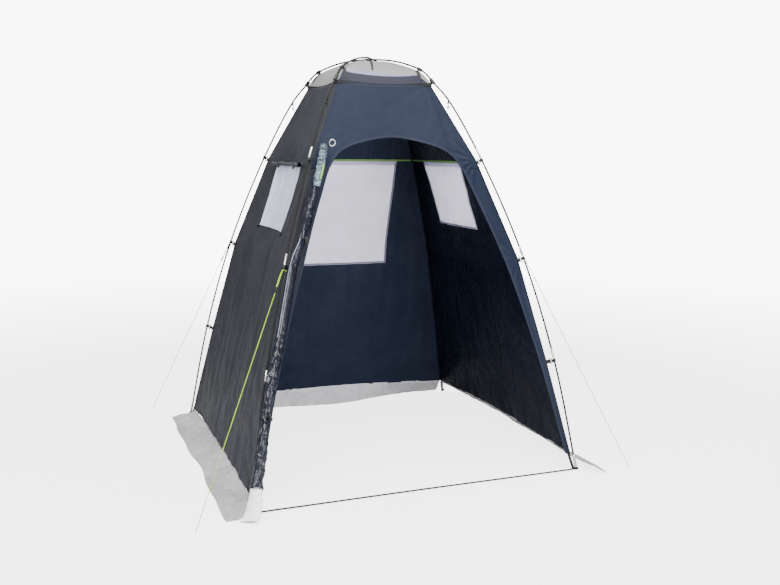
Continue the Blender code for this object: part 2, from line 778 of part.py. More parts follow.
def build_door_ties(finishes, group):
    """Make the two ties round the rolled door, each with a tab to the strip beside the opening."""
    for level, index in DOOR_TIES.items():
        before, here, after = [Vector(s[:3]) for s in DOOR_STATIONS[index - 1:index + 2]]
        radius = DOOR_STATIONS[index][3]
        strip = -(arch_half_width(here.z) + fabric_half_width(here.z)) / 2
        target = Vector((strip, front_face(strip, here.z), here.z))
        place = turned_matrix(here, here - target, (before - after).normalized())
        inner = (radius + TIE_CLEARANCE) / math.cos(math.pi / TIE_SEGMENTS)
        outer = inner + TIE_THICKNESS
        reach = outer
        while reach < LONGEST_TAB and strip_clearance(place, reach) > CLIP_CLEARANCE:
            reach += REACH_STEP
        name = f"door_tie_{level}"
        mesh = ring_with_tab(name, (inner, outer), TIE_HEIGHT, reach, TIE_HEIGHT, TIE_SEGMENTS)
        tie = add_object(name, mesh, finishes["plastic"], group)
        tie.matrix_world = place


def skirt_point(top, end, v, power):
    """Give a point on a skirt, which hangs straight from the hem for a little before it runs out."""
    band = top - Vector((0, 0, SKIRT_BAND))
    if v <= SKIRT_BAND_SHARE:
        return top.lerp(band, v / SKIRT_BAND_SHARE)
    share = (v - SKIRT_BAND_SHARE) / (1 - SKIRT_BAND_SHARE)
    point = band.lerp(end, share)
    point.z = band.z + (end.z - band.z) * share ** power
    return point


def skirt_seam(across):
    """Give where a skirt is sewn under a wall's lower edge, as (sideways, depth, height)."""
    half = FABRIC_STATIONS[0][1]
    sideways = across * (half - SKIRT_END_INSET)
    height = hem_height(sideways / half)
    return sideways, wall_depth(sideways, height) - SKIRT_THICKNESS - FITTING_GAP, height - SKIRT_SEAM


def build_side_skirt(side, finishes, group):
    """Make the mud flap that runs from a side wall's lower edge out over the ground."""
    sign = -1 if side == "left" else 1

    def place(u, v):
        sideways, depth, height = skirt_seam(2 * u - 1)
        top = Vector((sign * depth, sideways, height))
        ripple = sum(high * math.sin(u * turns + start) for high, turns, start in SKIRT_WAVES)
        end_y = SKIRT_FRONT_END + (SKIRT_BACK_END - SKIRT_FRONT_END) * u
        end = Vector((sign * (SKIRT_REACH + ripple), end_y, 0.0))
        return skirt_point(top, end, v, SKIRT_FALL)

    mesh = mesh_from_grid(f"{side}_skirt", SKIRT_COLUMNS, SKIRT_ROWS, place)
    skirt = add_object(f"{side}_skirt", mesh, finishes["skirt"], group)
    add_solidify(skirt, SKIRT_THICKNESS, 1.0 if side == "left" else -1.0)


def back_skirt_reach(across):
    """Give where the back skirt meets the ground: tucked in near the middle and out at one end."""
    depth, middle, width = BACK_SKIRT_TUCK
    tuck = depth * math.exp(-((across - middle) / width) ** 2)
    reach, start, slope = BACK_SKIRT_SPREAD
    spread = reach / (1 + math.exp(-(across - start) * slope))
    return FABRIC_STATIONS[0][1] - BACK_SKIRT_INSET - tuck + spread


def build_back_skirt(finishes, group):
    """Make the mud flap under the back wall, which hangs nearly straight down."""
    def place(u, v):
        across = 1 - 2 * u
        sideways, depth, height = skirt_seam(across)
        top = Vector((sideways, depth, height))
        end = Vector((sideways - across * BACK_SKIRT_TAPER, back_skirt_reach(across), BACK_SKIRT_LIFT))
        return skirt_point(top, end, v, 1.0)

    mesh = mesh_from_grid("back_skirt", SKIRT_COLUMNS, SKIRT_ROWS, place)
    skirt = add_object("back_skirt", mesh, finishes["skirt"], group)
    add_solidify(skirt, SKIRT_THICKNESS, -1.0)


def build_guy_lines(finishes, group):
    """Make the four taut lines from the middle clips to the ground."""
    height = CLIP_HEIGHTS["middle"] - GUY_START_DROP
    for corner, (end_x, end_y) in GUY_ENDS.items():
        sx, sy = CORNERS[corner]
        half = pole_half_width(height)
        anchor = Vector((sx * half, sy * half, height))
        end = Vector((end_x, end_y, GUY_RADIUS + GUY_GAP))
        along = (end - anchor).normalized()
        start = anchor + Vector((sx, sy, 0)).normalized() * (POLE_RADIUS + GUY_RADIUS + GUY_GAP)
        start += along * GUY_START_STEP
        tube(f"guy_line_{corner}", [start, start.lerp(end, 0.5), end], GUY_RADIUS, finishes["line"], group)


def build_tent():
    """Build every piece of the tent."""
    clear_scene()
    group = make_collection("toilet_tent")
    cutters = make_collection("cutters")
    finishes = {
        "charcoal": make_material("charcoal_fabric", (0.055, 0.055, 0.062), 0.55),
        "navy": make_material("navy_fabric", (0.040, 0.056, 0.110), 0.55),
        "cap": make_material("pale_roof_fabric", (0.55, 0.56, 0.55), 0.60),
        "skirt": make_material("pale_skirt", (0.50, 0.50, 0.53), 0.65),
        "film": make_material("window_film", (0.70, 0.70, 0.80), 0.20, alpha=0.5),
        "pole": make_material("black_glass_fibre", (0.020, 0.020, 0.022), 0.35),
        "metal": make_material("bright_metal", (0.70, 0.70, 0.70), 0.30, metallic=1.0),
        "plastic": make_material("black_plastic", (0.015, 0.015, 0.016), 0.40),
        "webbing": make_material("black_webbing", (0.018, 0.018, 0.020), 0.80),
        "line": make_material("lime_line", (0.56, 0.78, 0.05), 0.60),
    }
    front = build_wall("front", CORNER_INSET, finishes, group)
    add_cut(front, build_arch_cutter(cutters))
    walls = {
        "left": build_wall("left", 0.0, finishes, group),
        "right": build_wall("right", 0.0, finishes, group),
        "back": build_wall("back", CORNER_INSET, finishes, group),
    }
    for side, wall in walls.items():
        size = BACK_WINDOW if side == "back" else SIDE_WINDOW
        build_window(side, size, wall, finishes, group, cutters)
        build_curtain(side, size, finishes, group)
    build_roof_cap(finishes, group)
    build_pole("pole_front_left_to_back_right", "front_left", "back_right", CROSSING_LIFT, finishes, group)
    build_pole("pole_front_right_to_back_left", "front_right", "back_left", -CROSSING_LIFT, finishes, group)
    for corner in CORNERS:
        build_foot_cap(corner, finishes, group)
        build_foot_strap(corner, finishes, group)
    build_clips(finishes, group)
    build_roof_hooks(finishes, group)
    build_roof_hanger(finishes, group)
    build_threshold(finishes, group)
    build_door_roll(finishes, group)
    build_door_ties(finishes, group)
    build_side_skirt("left", finishes, group)
    build_side_skirt("right", finishes, group)
    build_back_skirt(finishes, group)
    build_guy_lines(finishes, group)


build_tent()
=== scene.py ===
"""Looks of a toilet tent: fine cloth, poles, clips, rolled door and lines around its solids.

Metres, +Z up, the door faces -Y. The tent's body hangs inside two poles that cross over the roof.
"""

import logging
import math
from dataclasses import dataclass, field
from enum import Enum
from typing import Callable, Sequence

import bmesh
import bpy
import numpy as np
from mathutils import Matrix, Vector


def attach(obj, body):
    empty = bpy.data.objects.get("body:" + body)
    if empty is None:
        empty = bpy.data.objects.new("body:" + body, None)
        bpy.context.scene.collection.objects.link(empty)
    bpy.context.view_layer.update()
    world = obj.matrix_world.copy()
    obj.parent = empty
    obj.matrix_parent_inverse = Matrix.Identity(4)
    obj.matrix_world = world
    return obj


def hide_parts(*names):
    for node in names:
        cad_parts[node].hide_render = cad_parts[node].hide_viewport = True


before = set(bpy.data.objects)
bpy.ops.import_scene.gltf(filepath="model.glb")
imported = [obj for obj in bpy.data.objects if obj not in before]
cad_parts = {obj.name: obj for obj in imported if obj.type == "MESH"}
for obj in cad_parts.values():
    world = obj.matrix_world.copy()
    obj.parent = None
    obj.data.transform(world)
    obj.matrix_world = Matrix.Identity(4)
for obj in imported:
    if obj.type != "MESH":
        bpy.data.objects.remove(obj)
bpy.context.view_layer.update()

LOG = logging.getLogger("tent")
Colour = tuple[float, float, float]
Place = Callable[[np.ndarray, np.ndarray], np.ndarray]
TAU = 2.0 * math.pi

# Image size and the camera that sees the tent as the picture does.
IMAGE_WIDTH, IMAGE_HEIGHT = 780, 585
CAMERA_PLACE = (-1.66356, -4.74153, 1.57174)
CAMERA_YAW = 20.756
CAMERA_PITCH = -8.568
CAMERA_ROLL = 0.492
FOCAL_PIXELS = 945.73
SENSOR_WIDTH = 36.0

# How much lower the left wall's hem hangs than the other walls' hems.
LEFT_HEM_DROP = 0.048


class Side(Enum):
    """A side of the tent and the turn about the vertical that brings the front there."""

    FRONT = 0
    RIGHT = 90
    BACK = 180
    LEFT = -90


class Corner(Enum):
    """A corner of the tent as the signs of X and Y."""

    FRONT_LEFT = (-1, -1)
    FRONT_RIGHT = (1, -1)
    BACK_RIGHT = (1, 1)
    BACK_LEFT = (-1, 1)

    @property
    def label(self) -> str:
        """Give the corner's name as the solids' names hold it."""
        return self.name.lower()


class Graph:
    """A shader tree with short calls that add nodes and join them."""

    def __init__(self, tree: bpy.types.NodeTree) -> None:
        """Keep the tree that nodes are added to."""
        self.tree = tree

    def add(self, kind: str, **inputs: object) -> bpy.types.Node:
        """Add a node.

        Args:
            kind: The node's type name.
            inputs: Values by input name with spaces as underscores; a socket is joined.

        Returns:
            The new node.
        """
        node = self.tree.nodes.new(kind)
        for key, value in inputs.items():
            self.put(node.inputs[key.replace("_", " ")], value)
        return node

    def put(self, socket: bpy.types.NodeSocket, value: object) -> None:
        """Set a socket to a value, or join another socket to it."""
        if isinstance(value, bpy.types.NodeSocket):
            self.tree.links.new(value, socket)
        else:
            socket.default_value = value

    def math(self, operation: str, first: object, second: object = 0.5, clamp: bool = False) -> object:
        """Add a math node and give its output."""
        node = self.tree.nodes.new("ShaderNodeMath")
        node.operation = operation
        node.use_clamp = clamp
        self.put(node.inputs[0], first)
        self.put(node.inputs[1], second)
        return node.outputs[0]

    def mix(self, share: object, first: object, second: object, blend: str = "MIX") -> object:
        """Add a colour mix and give its output."""
        node = self.tree.nodes.new("ShaderNodeMix")
        node.data_type = "RGBA"
        node.blend_type = blend
        self.put(node.inputs[0], share)
        self.put(node.inputs[6], first)
        self.put(node.inputs[7], second)
        return node.outputs[2]

    def ramp(self, share: object, low: float, high: float) -> object:
        """Map a value from low..high to 0..1 and give the output."""
        node = self.tree.nodes.new("ShaderNodeMapRange")
        self.put(node.inputs["Value"], share)
        node.inputs["From Min"].default_value = low
        node.inputs["From Max"].default_value = high
        return node.outputs["Result"]

    def noise(self, vector: object, scale: float, detail: float = 3.0, roughness: float = 0.55) -> object:
        """Add a noise texture and give its value."""
        node = self.add("ShaderNodeTexNoise", Vector=vector, Scale=scale, Detail=detail, Roughness=roughness)
        return node.outputs[0]


class Effects:
    """Shader effects that several finishes share, each a node group that is built once."""

    def __init__(self) -> None:
        """Build the groups."""
        self.cloth = self._cloth()
        self.handled = self._handled()
        self.twist = self._twist()

    @staticmethod
    def _group(name: str, inputs: dict[str, str], outputs: dict[str, str]) -> tuple:
        """Make an empty group with named sockets and give it with its graph, input and output."""
        tree = bpy.data.node_groups.new(name, "ShaderNodeTree")
        for key, kind in inputs.items():
            tree.interface.new_socket(key, in_out="INPUT", socket_type=f"NodeSocket{kind}")
        for key, kind in outputs.items():
            tree.interface.new_socket(key, in_out="OUTPUT", socket_type=f"NodeSocket{kind}")
        graph = Graph(tree)
        return tree, graph, graph.add("NodeGroupInput"), graph.add("NodeGroupOutput")

    def _cloth(self) -> bpy.types.NodeTree:
        """Build woven cloth: threads from the flat map, mottling, soft crumples and painted crease shade from the
        place.
        """
        tree, graph, given, out = self._group(
            "Woven cloth",
            {"Flat": "Vector", "Place": "Vector", "Base": "Color", "Shade": "Color", "Threads": "Float",
             "Crumple": "Float", "Roughness": "Float"},
            {"Colour": "Color", "Roughness": "Float", "Height": "Float"})
        split = graph.add("ShaderNodeSeparateXYZ", Vector=given.outputs["Flat"])
        waves = [graph.math("SINE", graph.math("MULTIPLY", split.outputs[axis], given.outputs["Threads"]))
                 for axis in (0, 1)]
        weave = graph.math("MULTIPLY", waves[0], waves[1])
        ribs = [graph.math("POWER", graph.math("ABSOLUTE", graph.math(
            "COSINE", graph.math("MULTIPLY", split.outputs[axis], TAU / 0.012))), 60.0) for axis in (0, 1)]
        rib = graph.math("MAXIMUM", ribs[0], ribs[1])
        broad = graph.noise(given.outputs["Place"], 5.0, 4.0)
        fine = graph.noise(given.outputs["Place"], 55.0, 4.0, 0.6)
        folds = graph.noise(given.outputs["Place"], 16.0, 2.0, 0.5)
        ridge = graph.math("ABSOLUTE", graph.math("SUBTRACT", folds, 0.5))
        shade = graph.math("ADD", graph.math("MULTIPLY", graph.ramp(broad, 0.35, 0.65), 0.7),
                           graph.math("MULTIPLY", fine, 0.3), clamp=True)
        colour = graph.mix(shade, given.outputs["Base"], given.outputs["Shade"])
        # Painted crease shade: along the fold noise's ridges the colour darkens towards black, the more the larger the
        # crumple.
        crease = graph.math("SUBTRACT", 1.0, graph.ramp(ridge, 0.0, 0.035), clamp=True)
        worn = graph.math("MULTIPLY", crease, graph.math("MULTIPLY", given.outputs["Crumple"], 60.0), clamp=True)
        graph.put(out.inputs["Colour"], graph.mix(worn, colour, (0.0, 0.0, 0.0, 1.0)))
        rough = graph.math("ADD", given.outputs["Roughness"],
                           graph.math("MULTIPLY", graph.math("SUBTRACT", fine, 0.5), 0.12))
        graph.put(out.inputs["Roughness"], graph.math("ADD", rough, graph.math("MULTIPLY", rib, -0.03), clamp=True))
        threads = graph.math("ADD", graph.math("MULTIPLY", weave, 0.00004), graph.math("MULTIPLY", rib, 0.00003))
        crumple = graph.math("MULTIPLY", given.outputs["Crumple"],
                             graph.math("ADD", graph.math("MULTIPLY", ridge, -1.6), graph.math("MULTIPLY", fine, 0.35)))
        graph.put(out.inputs["Height"], graph.math("ADD", threads, crumple))
        return tree

    def _handled(self) -> bpy.types.NodeTree:
        """Build the look of handled hard parts: grain, small scuffs and a little dust in patches."""
        tree, graph, given, out = self._group(
            "Handled hard part",
            {"Place": "Vector", "Base": "Color", "Worn": "Color", "Roughness": "Float", "Grain": "Float"},
            {"Colour": "Color", "Roughness": "Float", "Height": "Float"})
        broad = graph.noise(given.outputs["Place"], 30.0, 4.0)
        fine = graph.noise(given.outputs["Place"], 900.0, 2.0)
        scuff = graph.ramp(graph.noise(given.outputs["Place"], 140.0, 6.0, 0.7), 0.58, 0.70)
        worn = graph.math("MULTIPLY", scuff, graph.ramp(broad, 0.40, 0.75), clamp=True)
        graph.put(out.inputs["Colour"], graph.mix(worn, given.outputs["Base"], given.outputs["Worn"]))
        graph.put(out.inputs["Roughness"], graph.math(
            "ADD", given.outputs["Roughness"], graph.math("MULTIPLY", graph.math("SUBTRACT", broad, 0.5), 0.30),
            clamp=True))
        graph.put(out.inputs["Height"], graph.math("MULTIPLY", fine, given.outputs["Grain"]))
        return tree

    def _twist(self) -> bpy.types.NodeTree:
        """Build a braided or ribbed surface from the flat map: X runs round or across, Y runs along."""
        tree, graph, given, out = self._group(
            "Braid", {"Flat": "Vector", "Across": "Float", "Along": "Float"}, {"Height": "Float", "Mask": "Float"})
        split = graph.add("ShaderNodeSeparateXYZ", Vector=given.outputs["Flat"])
        across = graph.math("MULTIPLY", split.outputs[0], given.outputs["Across"])
        along = graph.math("MULTIPLY", split.outputs[1], given.outputs["Along"])
        first = graph.math("SINE", graph.math("ADD", across, along))
        second = graph.math("SINE", graph.math("SUBTRACT", across, along))
        woven = graph.math("MAXIMUM", first, second)
        graph.put(out.inputs["Height"], graph.math("MULTIPLY", woven, 0.0002))
        # The mask is low in the braid's grooves, which the braid finish fills with painted shade.
        graph.put(out.inputs["Mask"], graph.ramp(woven, -0.4, 1.0))
        return tree


def principled(name: str) -> tuple[bpy.types.Material, Graph, bpy.types.Node]:
    """Make a material and give it with its graph and its Principled BSDF."""
    material = bpy.data.materials.new(name)
    material.use_nodes = True
    return material, Graph(material.node_tree), material.node_tree.nodes["Principled BSDF"]


def coordinates(graph: Graph) -> tuple:
    """Give the flat map and the object coordinates of a material."""
    node = graph.add("ShaderNodeTexCoord")
    return node.outputs["UV"], node.outputs["Object"]


@dataclass(frozen=True)
class ClothFinish:
    """A woven or coated cloth."""

    name: str
    slot: str
    base: Colour
    shade: Colour
    roughness: float = 0.48
    # crumple sets the crumples' height and also how dark the painted crease shade along them is.
    crumple: float = 0.0012
    threads: float = 5200.0
    sheen: float = 0.0
    specular: float = 0.14
    alpha: float = 1.0
    bump: float = 1.0

    def build(self, effects: Effects) -> bpy.types.Material:
        """Build the cloth's material."""
        material, graph, shader = principled(self.name)
        flat, place = coordinates(graph)
        group = graph.add("ShaderNodeGroup")
        group.node_tree = effects.cloth
        for key, value in (("Flat", flat), ("Place", place), ("Base", (*self.base, 1.0)),
                           ("Shade", (*self.shade, 1.0)), ("Threads", self.threads),
                           ("Crumple", self.crumple), ("Roughness", self.roughness)):
            graph.put(group.inputs[key], value)
        bump = graph.add("ShaderNodeBump", Height=group.outputs["Height"], Strength=self.bump, Distance=1.0)
        graph.put(shader.inputs["Base Color"], group.outputs["Colour"])
        graph.put(shader.inputs["Roughness"], group.outputs["Roughness"])
        graph.put(shader.inputs["Normal"], bump.outputs["Normal"])
        shader.inputs["Sheen Weight"].default_value = self.sheen
        shader.inputs["Sheen Roughness"].default_value = 0.5
        shader.inputs["Specular IOR Level"].default_value = self.specular
        shader.inputs["Alpha"].default_value = self.alpha
        return material


@dataclass(frozen=True)
class FilmFinish:
    """A clear or frosted flexible film."""

    name: str
    slot: str
    base: Colour
    alpha: float
    roughness: float = 0.18
    ripple: float = 0.0012
    painted_reflection: Colour | None = None

    def build(self, effects: Effects) -> bpy.types.Material:
        """Build the film's material, rippled and a little cloudy; a given second colour paints dark reflections in the
        cloudy patches.
        """
        material, graph, shader = principled(self.name)
        _, place = coordinates(graph)
        broad = graph.noise(place, 7.0, 2.0)
        fine = graph.noise(place, 38.0, 3.0)
        # On the door film the second colour is near black: its patches are painted dark reflections.
        tint = self.painted_reflection or tuple(min(1.0, c * 0.93) for c in self.base)
        colour = graph.mix(graph.ramp(broad, 0.40, 0.62), (*self.base, 1.0), (*tint, 1.0))
        height = graph.math("MULTIPLY", graph.math("ADD", broad, graph.math("MULTIPLY", fine, 0.35)), self.ripple)
        bump = graph.add("ShaderNodeBump", Height=height, Strength=1.0, Distance=1.0)
        graph.put(shader.inputs["Base Color"], colour)
        graph.put(shader.inputs["Roughness"], graph.math(
            "ADD", self.roughness, graph.math("MULTIPLY", graph.math("SUBTRACT", fine, 0.5), 0.08), clamp=True))
        graph.put(shader.inputs["Normal"], bump.outputs["Normal"])
        shader.inputs["Alpha"].default_value = self.alpha
        shader.inputs["Coat Weight"].default_value = 0.4
        shader.inputs["Coat Roughness"].default_value = 0.08
        return material


@dataclass(frozen=True)
class HardFinish:
    """Moulded plastic, glass fibre or metal."""

    name: str
    slot: str
    base: Colour
    worn: Colour
    roughness: float
    metallic: float = 0.0
    grain: float = 0.00003
    specular: float = 0.35

    def build(self, effects: Effects) -> bpy.types.Material:
        """Build the hard part's material."""
        material, graph, shader = principled(self.name)
        _, place = coordinates(graph)
        group = graph.add("ShaderNodeGroup")
        group.node_tree = effects.handled
        for key, value in (("Place", place), ("Base", (*self.base, 1.0)), ("Worn", (*self.worn, 1.0)),
                           ("Roughness", self.roughness), ("Grain", self.grain)):
            graph.put(group.inputs[key], value)
        bump = graph.add("ShaderNodeBump", Height=group.outputs["Height"], Strength=1.0, Distance=1.0)
        graph.put(shader.inputs["Base Color"], group.outputs["Colour"])
        graph.put(shader.inputs["Roughness"], group.outputs["Roughness"])
        graph.put(shader.inputs["Normal"], bump.outputs["Normal"])
        shader.inputs["Metallic"].default_value = self.metallic
        shader.inputs["Specular IOR Level"].default_value = self.specular
        return material


@dataclass(frozen=True)
class BraidFinish:
    """A braided line or a ribbed webbing."""

    name: str
    slot: str
    base: Colour
    # The colour of the painted shade in the braid's grooves.
    dark: Colour
    across: float
    along: float
    roughness: float = 0.75

    def build(self, effects: Effects) -> bpy.types.Material:
        """Build the braid's material."""
        material, graph, shader = principled(self.name)
        flat, place = coordinates(graph)
        group = graph.add("ShaderNodeGroup")
        group.node_tree = effects.twist
        for key, value in (("Flat", flat), ("Across", self.across), ("Along", self.along)):
            graph.put(group.inputs[key], value)
        fuzz = graph.noise(place, 400.0, 2.0)
        # Painted groove shade: the dark colour fills the braid's low grooves, the base colour its raised strands.
        share = graph.math("MULTIPLY", group.outputs["Mask"], graph.ramp(fuzz, 0.2, 0.6), clamp=True)
        bump = graph.add("ShaderNodeBump", Height=group.outputs["Height"], Strength=1.0, Distance=1.0)
        graph.put(shader.inputs["Base Color"], graph.mix(share, (*self.dark, 1.0), (*self.base, 1.0)))
        graph.put(shader.inputs["Normal"], bump.outputs["Normal"])
        shader.inputs["Roughness"].default_value = self.roughness
        return material


class Finish(Enum):
    """Every finish on the tent."""

    CHARCOAL = ClothFinish("charcoal_cloth", "charcoal_fabric", (0.0185, 0.0190, 0.0245), (0.030, 0.031, 0.039),
                           roughness=0.42, specular=0.05)
    NAVY = ClothFinish("navy_cloth", "navy_fabric", (0.0078, 0.0112, 0.0250), (0.0108, 0.0155, 0.0310),
                       roughness=0.42, specular=0.10)
    # A lighter copy of the navy cloth: painted light for the back wall's inner face, which lies in the tent's shade;
    # the fascia wears it on its outer face.
    NAVY_INNER = ClothFinish("navy_painted_light", "navy_fabric", (0.0175, 0.0240, 0.0480), (0.026, 0.034, 0.061),
                             roughness=0.46, specular=0.10)
    # A much darker, bluer copy of the charcoal cloth on the inner faces of the side walls and front strips: painted
    # shade for the tent's inside.
    DARK_INNER = ClothFinish("inner_face_painted_shade", "charcoal_fabric", (0.0022, 0.0040, 0.0090), (0.0070, 0.0100, 0.0190),
                             roughness=0.42, specular=0.10)
    DOOR_NAVY = ClothFinish("door_cloth", "navy_fabric", (0.003, 0.004, 0.009), (0.007, 0.009, 0.020),
                            roughness=0.22, crumple=0.0009, specular=0.42)
    ROOF = ClothFinish("roof_cloth", "pale_roof_fabric", (0.19, 0.195, 0.19), (0.27, 0.275, 0.27),
                       roughness=0.50, alpha=0.82)
    LAVENDER = ClothFinish("roof_vent_cloth", "pale_roof_fabric", (0.17, 0.17, 0.27), (0.23, 0.23, 0.34),
                           roughness=0.55)
    ROOF_BAND = ClothFinish("roof_band_cloth", "navy_fabric", (0.008, 0.009, 0.019), (0.014, 0.014, 0.027),
                            roughness=0.45)
    CURTAIN = ClothFinish("curtain_cloth", "charcoal_fabric", (0.026, 0.026, 0.031), (0.048, 0.048, 0.055),
                          roughness=0.40, crumple=0.0010, specular=0.25)
    SEAM = ClothFinish("corner_piping", "black_webbing", (0.030, 0.028, 0.027), (0.048, 0.044, 0.042),
                       roughness=0.55, crumple=0.0002)
    SKIRT = ClothFinish("skirt_cloth", "pale_skirt", (0.28, 0.28, 0.29), (0.46, 0.46, 0.475),
                        roughness=0.50, crumple=0.0045, threads=3200.0)
    # The pale door hem's cloth; on the back skirt it is a much lighter copy of the skirt cloth, painted light.
    HEM = ClothFinish("door_hem_cloth", "pale_skirt", (0.86, 0.85, 0.94), (0.99, 0.98, 1.0),
                      roughness=0.45, crumple=0.0030, threads=3200.0)
    TRIM = ClothFinish("dark_trim", "black_webbing", (0.012, 0.0115, 0.012), (0.022, 0.021, 0.022),
                       roughness=0.6, crumple=0.0003)
    BINDING = ClothFinish("window_binding", "pale_skirt", (0.20, 0.20, 0.27), (0.27, 0.27, 0.34),
                          roughness=0.55, crumple=0.0003)
    EDGE_TAPE = ClothFinish("opening_tape", "navy_fabric", (0.011, 0.014, 0.028), (0.017, 0.021, 0.038),
                            roughness=0.55, crumple=0.0003)
    FILM = FilmFinish("window_film", "window_film", (0.78, 0.77, 1.0), 0.76)
    DOOR_FILM = FilmFinish("door_film", "window_film", (0.30, 0.44, 0.52), 0.86, roughness=0.10, ripple=0.004,
                           painted_reflection=(0.008, 0.016, 0.032))
    POLE = HardFinish("glass_fibre", "black_pole", (0.010, 0.010, 0.011), (0.03, 0.03, 0.03), 0.50,
                      grain=0.00001, specular=0.15)
    METAL = HardFinish("bright_sleeve", "bright_metal", (0.72, 0.72, 0.70), (0.45, 0.45, 0.44), 0.28,
                       metallic=1.0, grain=0.00001)
    PLASTIC = HardFinish("black_moulding", "black_plastic", (0.008, 0.008, 0.009), (0.03, 0.03, 0.03), 0.45)
    WEBBING = BraidFinish("black_webbing_weave", "black_webbing", (0.014, 0.014, 0.015), (0.004, 0.004, 0.0045),
                          2600.0, 2600.0)
    CORD = BraidFinish("black_cord", "black_webbing", (0.018, 0.018, 0.020), (0.006, 0.006, 0.007), 3.0, 2400.0)
    LINE = BraidFinish("lime_line_braid", "lime_line", (0.44, 0.66, 0.015), (0.26, 0.42, 0.010), 3.0, 2200.0)
    PIPING = BraidFinish("lime_piping", "lime_line", (0.26, 0.54, 0.14), (0.15, 0.34, 0.07), 3.0, 2600.0)


class Materials:
    """The finishes' materials, each built when it is first used."""

    def __init__(self) -> None:
        """Build the shared effects."""
        self.effects = Effects()
        self.built: dict[Finish, bpy.types.Material] = {}

    def of(self, finish: Finish) -> bpy.types.Material:
        """Give the material of a finish."""
        if finish not in self.built:
            self.built[finish] = finish.value.build(self.effects)
        return self.built[finish]


@dataclass(frozen=True)
class TentShape:
    """Sizes that the tent's pieces share, the same as its solids have."""

    base_half: float = 0.825
    pole_stations: tuple = ((0.825, 0.0), (0.732, 0.545), (0.610, 1.046), (0.447, 1.526), (0.314, 1.829),
                            (0.257, 1.913), (0.222, 1.963), (0.185, 1.989), (0.100, 2.024), (0.0, 2.040))
    pole_radius: float = 0.00475
    crossing_lift: float = 0.0052
    fabric_heights: tuple = (0.0, 0.080, 0.545, 1.046, 1.526, 1.900)
    fabric_halves: tuple = (0.819, 0.800, 0.702, 0.5875, 0.425, 0.246)
    bottom: float = 0.080
    clip_heights: tuple = (0.545, 1.046, 1.526)
    sag: float = 0.024
    hem_rise: float = 0.026
    eave_dip: float = 0.012
    cap_gap: float = 0.0015
    cap_rise: float = 0.1225
    cap_power: float = 3.0
    arch_stations: tuple = ((0.783, 0.04), (0.682, 0.480), (0.576, 0.854), (0.447, 1.232), (0.392, 1.369),
                            (0.345, 1.481), (0.293, 1.552), (0.237, 1.585), (0.120, 1.618), (0.0, 1.633))

    @property
    def top(self) -> float:
        """Give the height of the eave's corners."""
        return self.fabric_heights[-1]

    def half(self, height: np.ndarray | float) -> np.ndarray:
        """Give the fabric's half width at its corner line."""
        return np.interp(height, self.fabric_heights, self.fabric_halves)

    def wall_sag(self, across: np.ndarray, height: np.ndarray) -> np.ndarray:
        """Give how far a wall hangs in between its corners."""
        rise = np.clip((height - self.bottom) / (self.top - self.bottom), 0.0, 1.0)
        return self.sag * np.sin(np.pi * rise) * (1 - np.clip(across, -1, 1) ** 2) ** 2

    def hem(self, across: np.ndarray) -> np.ndarray:
        """Give the height of a wall's lower edge."""
        return self.bottom + self.hem_rise * (1 - across ** 2)

    def eave(self, across: np.ndarray) -> np.ndarray:
        """Give the height of a wall's upper edge."""
        return self.top - self.eave_dip * (1 - across ** 2)

    def cap_height(self, size: np.ndarray, across: np.ndarray) -> np.ndarray:
        """Give the roof cap's height on a square ring of a size from 0 to 1."""
        dip = self.eave_dip * (1 - across ** 2) * size ** self.cap_power
        return self.top + self.cap_gap + self.cap_rise * (1 - size ** self.cap_power) - dip

    def pole_line(self, step: float) -> np.ndarray:
        """Give one leg of a pole from the ground to the crossing, as rows of (half width, height)."""
        return smooth_path([(half, 0.0, height) for half, height in self.pole_stations], step)[:, (0, 2)]

    def pole_half(self, height: float) -> float:
        """Give a pole's half width at a height."""
        line = self.pole_line(0.01)
        return float(np.interp(height, line[:, 1], line[:, 0]))

    def pole_slope(self, height: float) -> float:
        """Give how fast a pole's half width changes with height."""
        span = 0.006
        return (self.pole_half(height + span) - self.pole_half(height - span)) / (2 * span)

    def arch_half(self, height: np.ndarray | float) -> np.ndarray:
        """Give the door opening's half width at a height."""
        line = smooth_path([(x, 0.0, z) for x, z in self.arch_stations], 0.01)
        return np.interp(height, line[:, 2], line[:, 0])


def smooth_path(points: Sequence, step: float) -> np.ndarray:
    """Sample a centripetal Catmull-Rom curve through points.

    Args:
        points: The points that the curve passes.
        step: The largest distance between two samples.

    Returns:
        The samples as rows.
    """
    knots = [np.asarray(p, float) for p in points]
    ends = [2 * knots[0] - knots[1], *knots, 2 * knots[-1] - knots[-2]]
    samples = [knots[0]]
    for p0, p1, p2, p3 in zip(ends, ends[1:], ends[2:], ends[3:]):
        spans = [max(float(np.linalg.norm(b - a)), 1e-6) ** 0.5 for a, b in ((p0, p1), (p1, p2), (p2, p3))]
        t0, t1 = 0.0, spans[0]
        t2 = t1 + spans[1]
        t3 = t2 + spans[2]
        count = max(1, math.ceil(float(np.linalg.norm(p2 - p1)) / step))
        for part in range(1, count + 1):
            t = t1 + (t2 - t1) * part / count
            a1 = p0 * ((t1 - t) / (t1 - t0)) + p1 * ((t - t0) / (t1 - t0))
            a2 = p1 * ((t2 - t) / (t2 - t1)) + p2 * ((t - t1) / (t2 - t1))
            a3 = p2 * ((t3 - t) / (t3 - t2)) + p3 * ((t - t2) / (t3 - t2))
            b1 = a1 * ((t2 - t) / (t2 - t0)) + a2 * ((t - t0) / (t2 - t0))
            b2 = a2 * ((t3 - t) / (t3 - t1)) + a3 * ((t - t1) / (t3 - t1))
            samples.append(b1 * ((t2 - t) / (t2 - t1)) + b2 * ((t - t1) / (t2 - t1)))
    return np.array(samples)


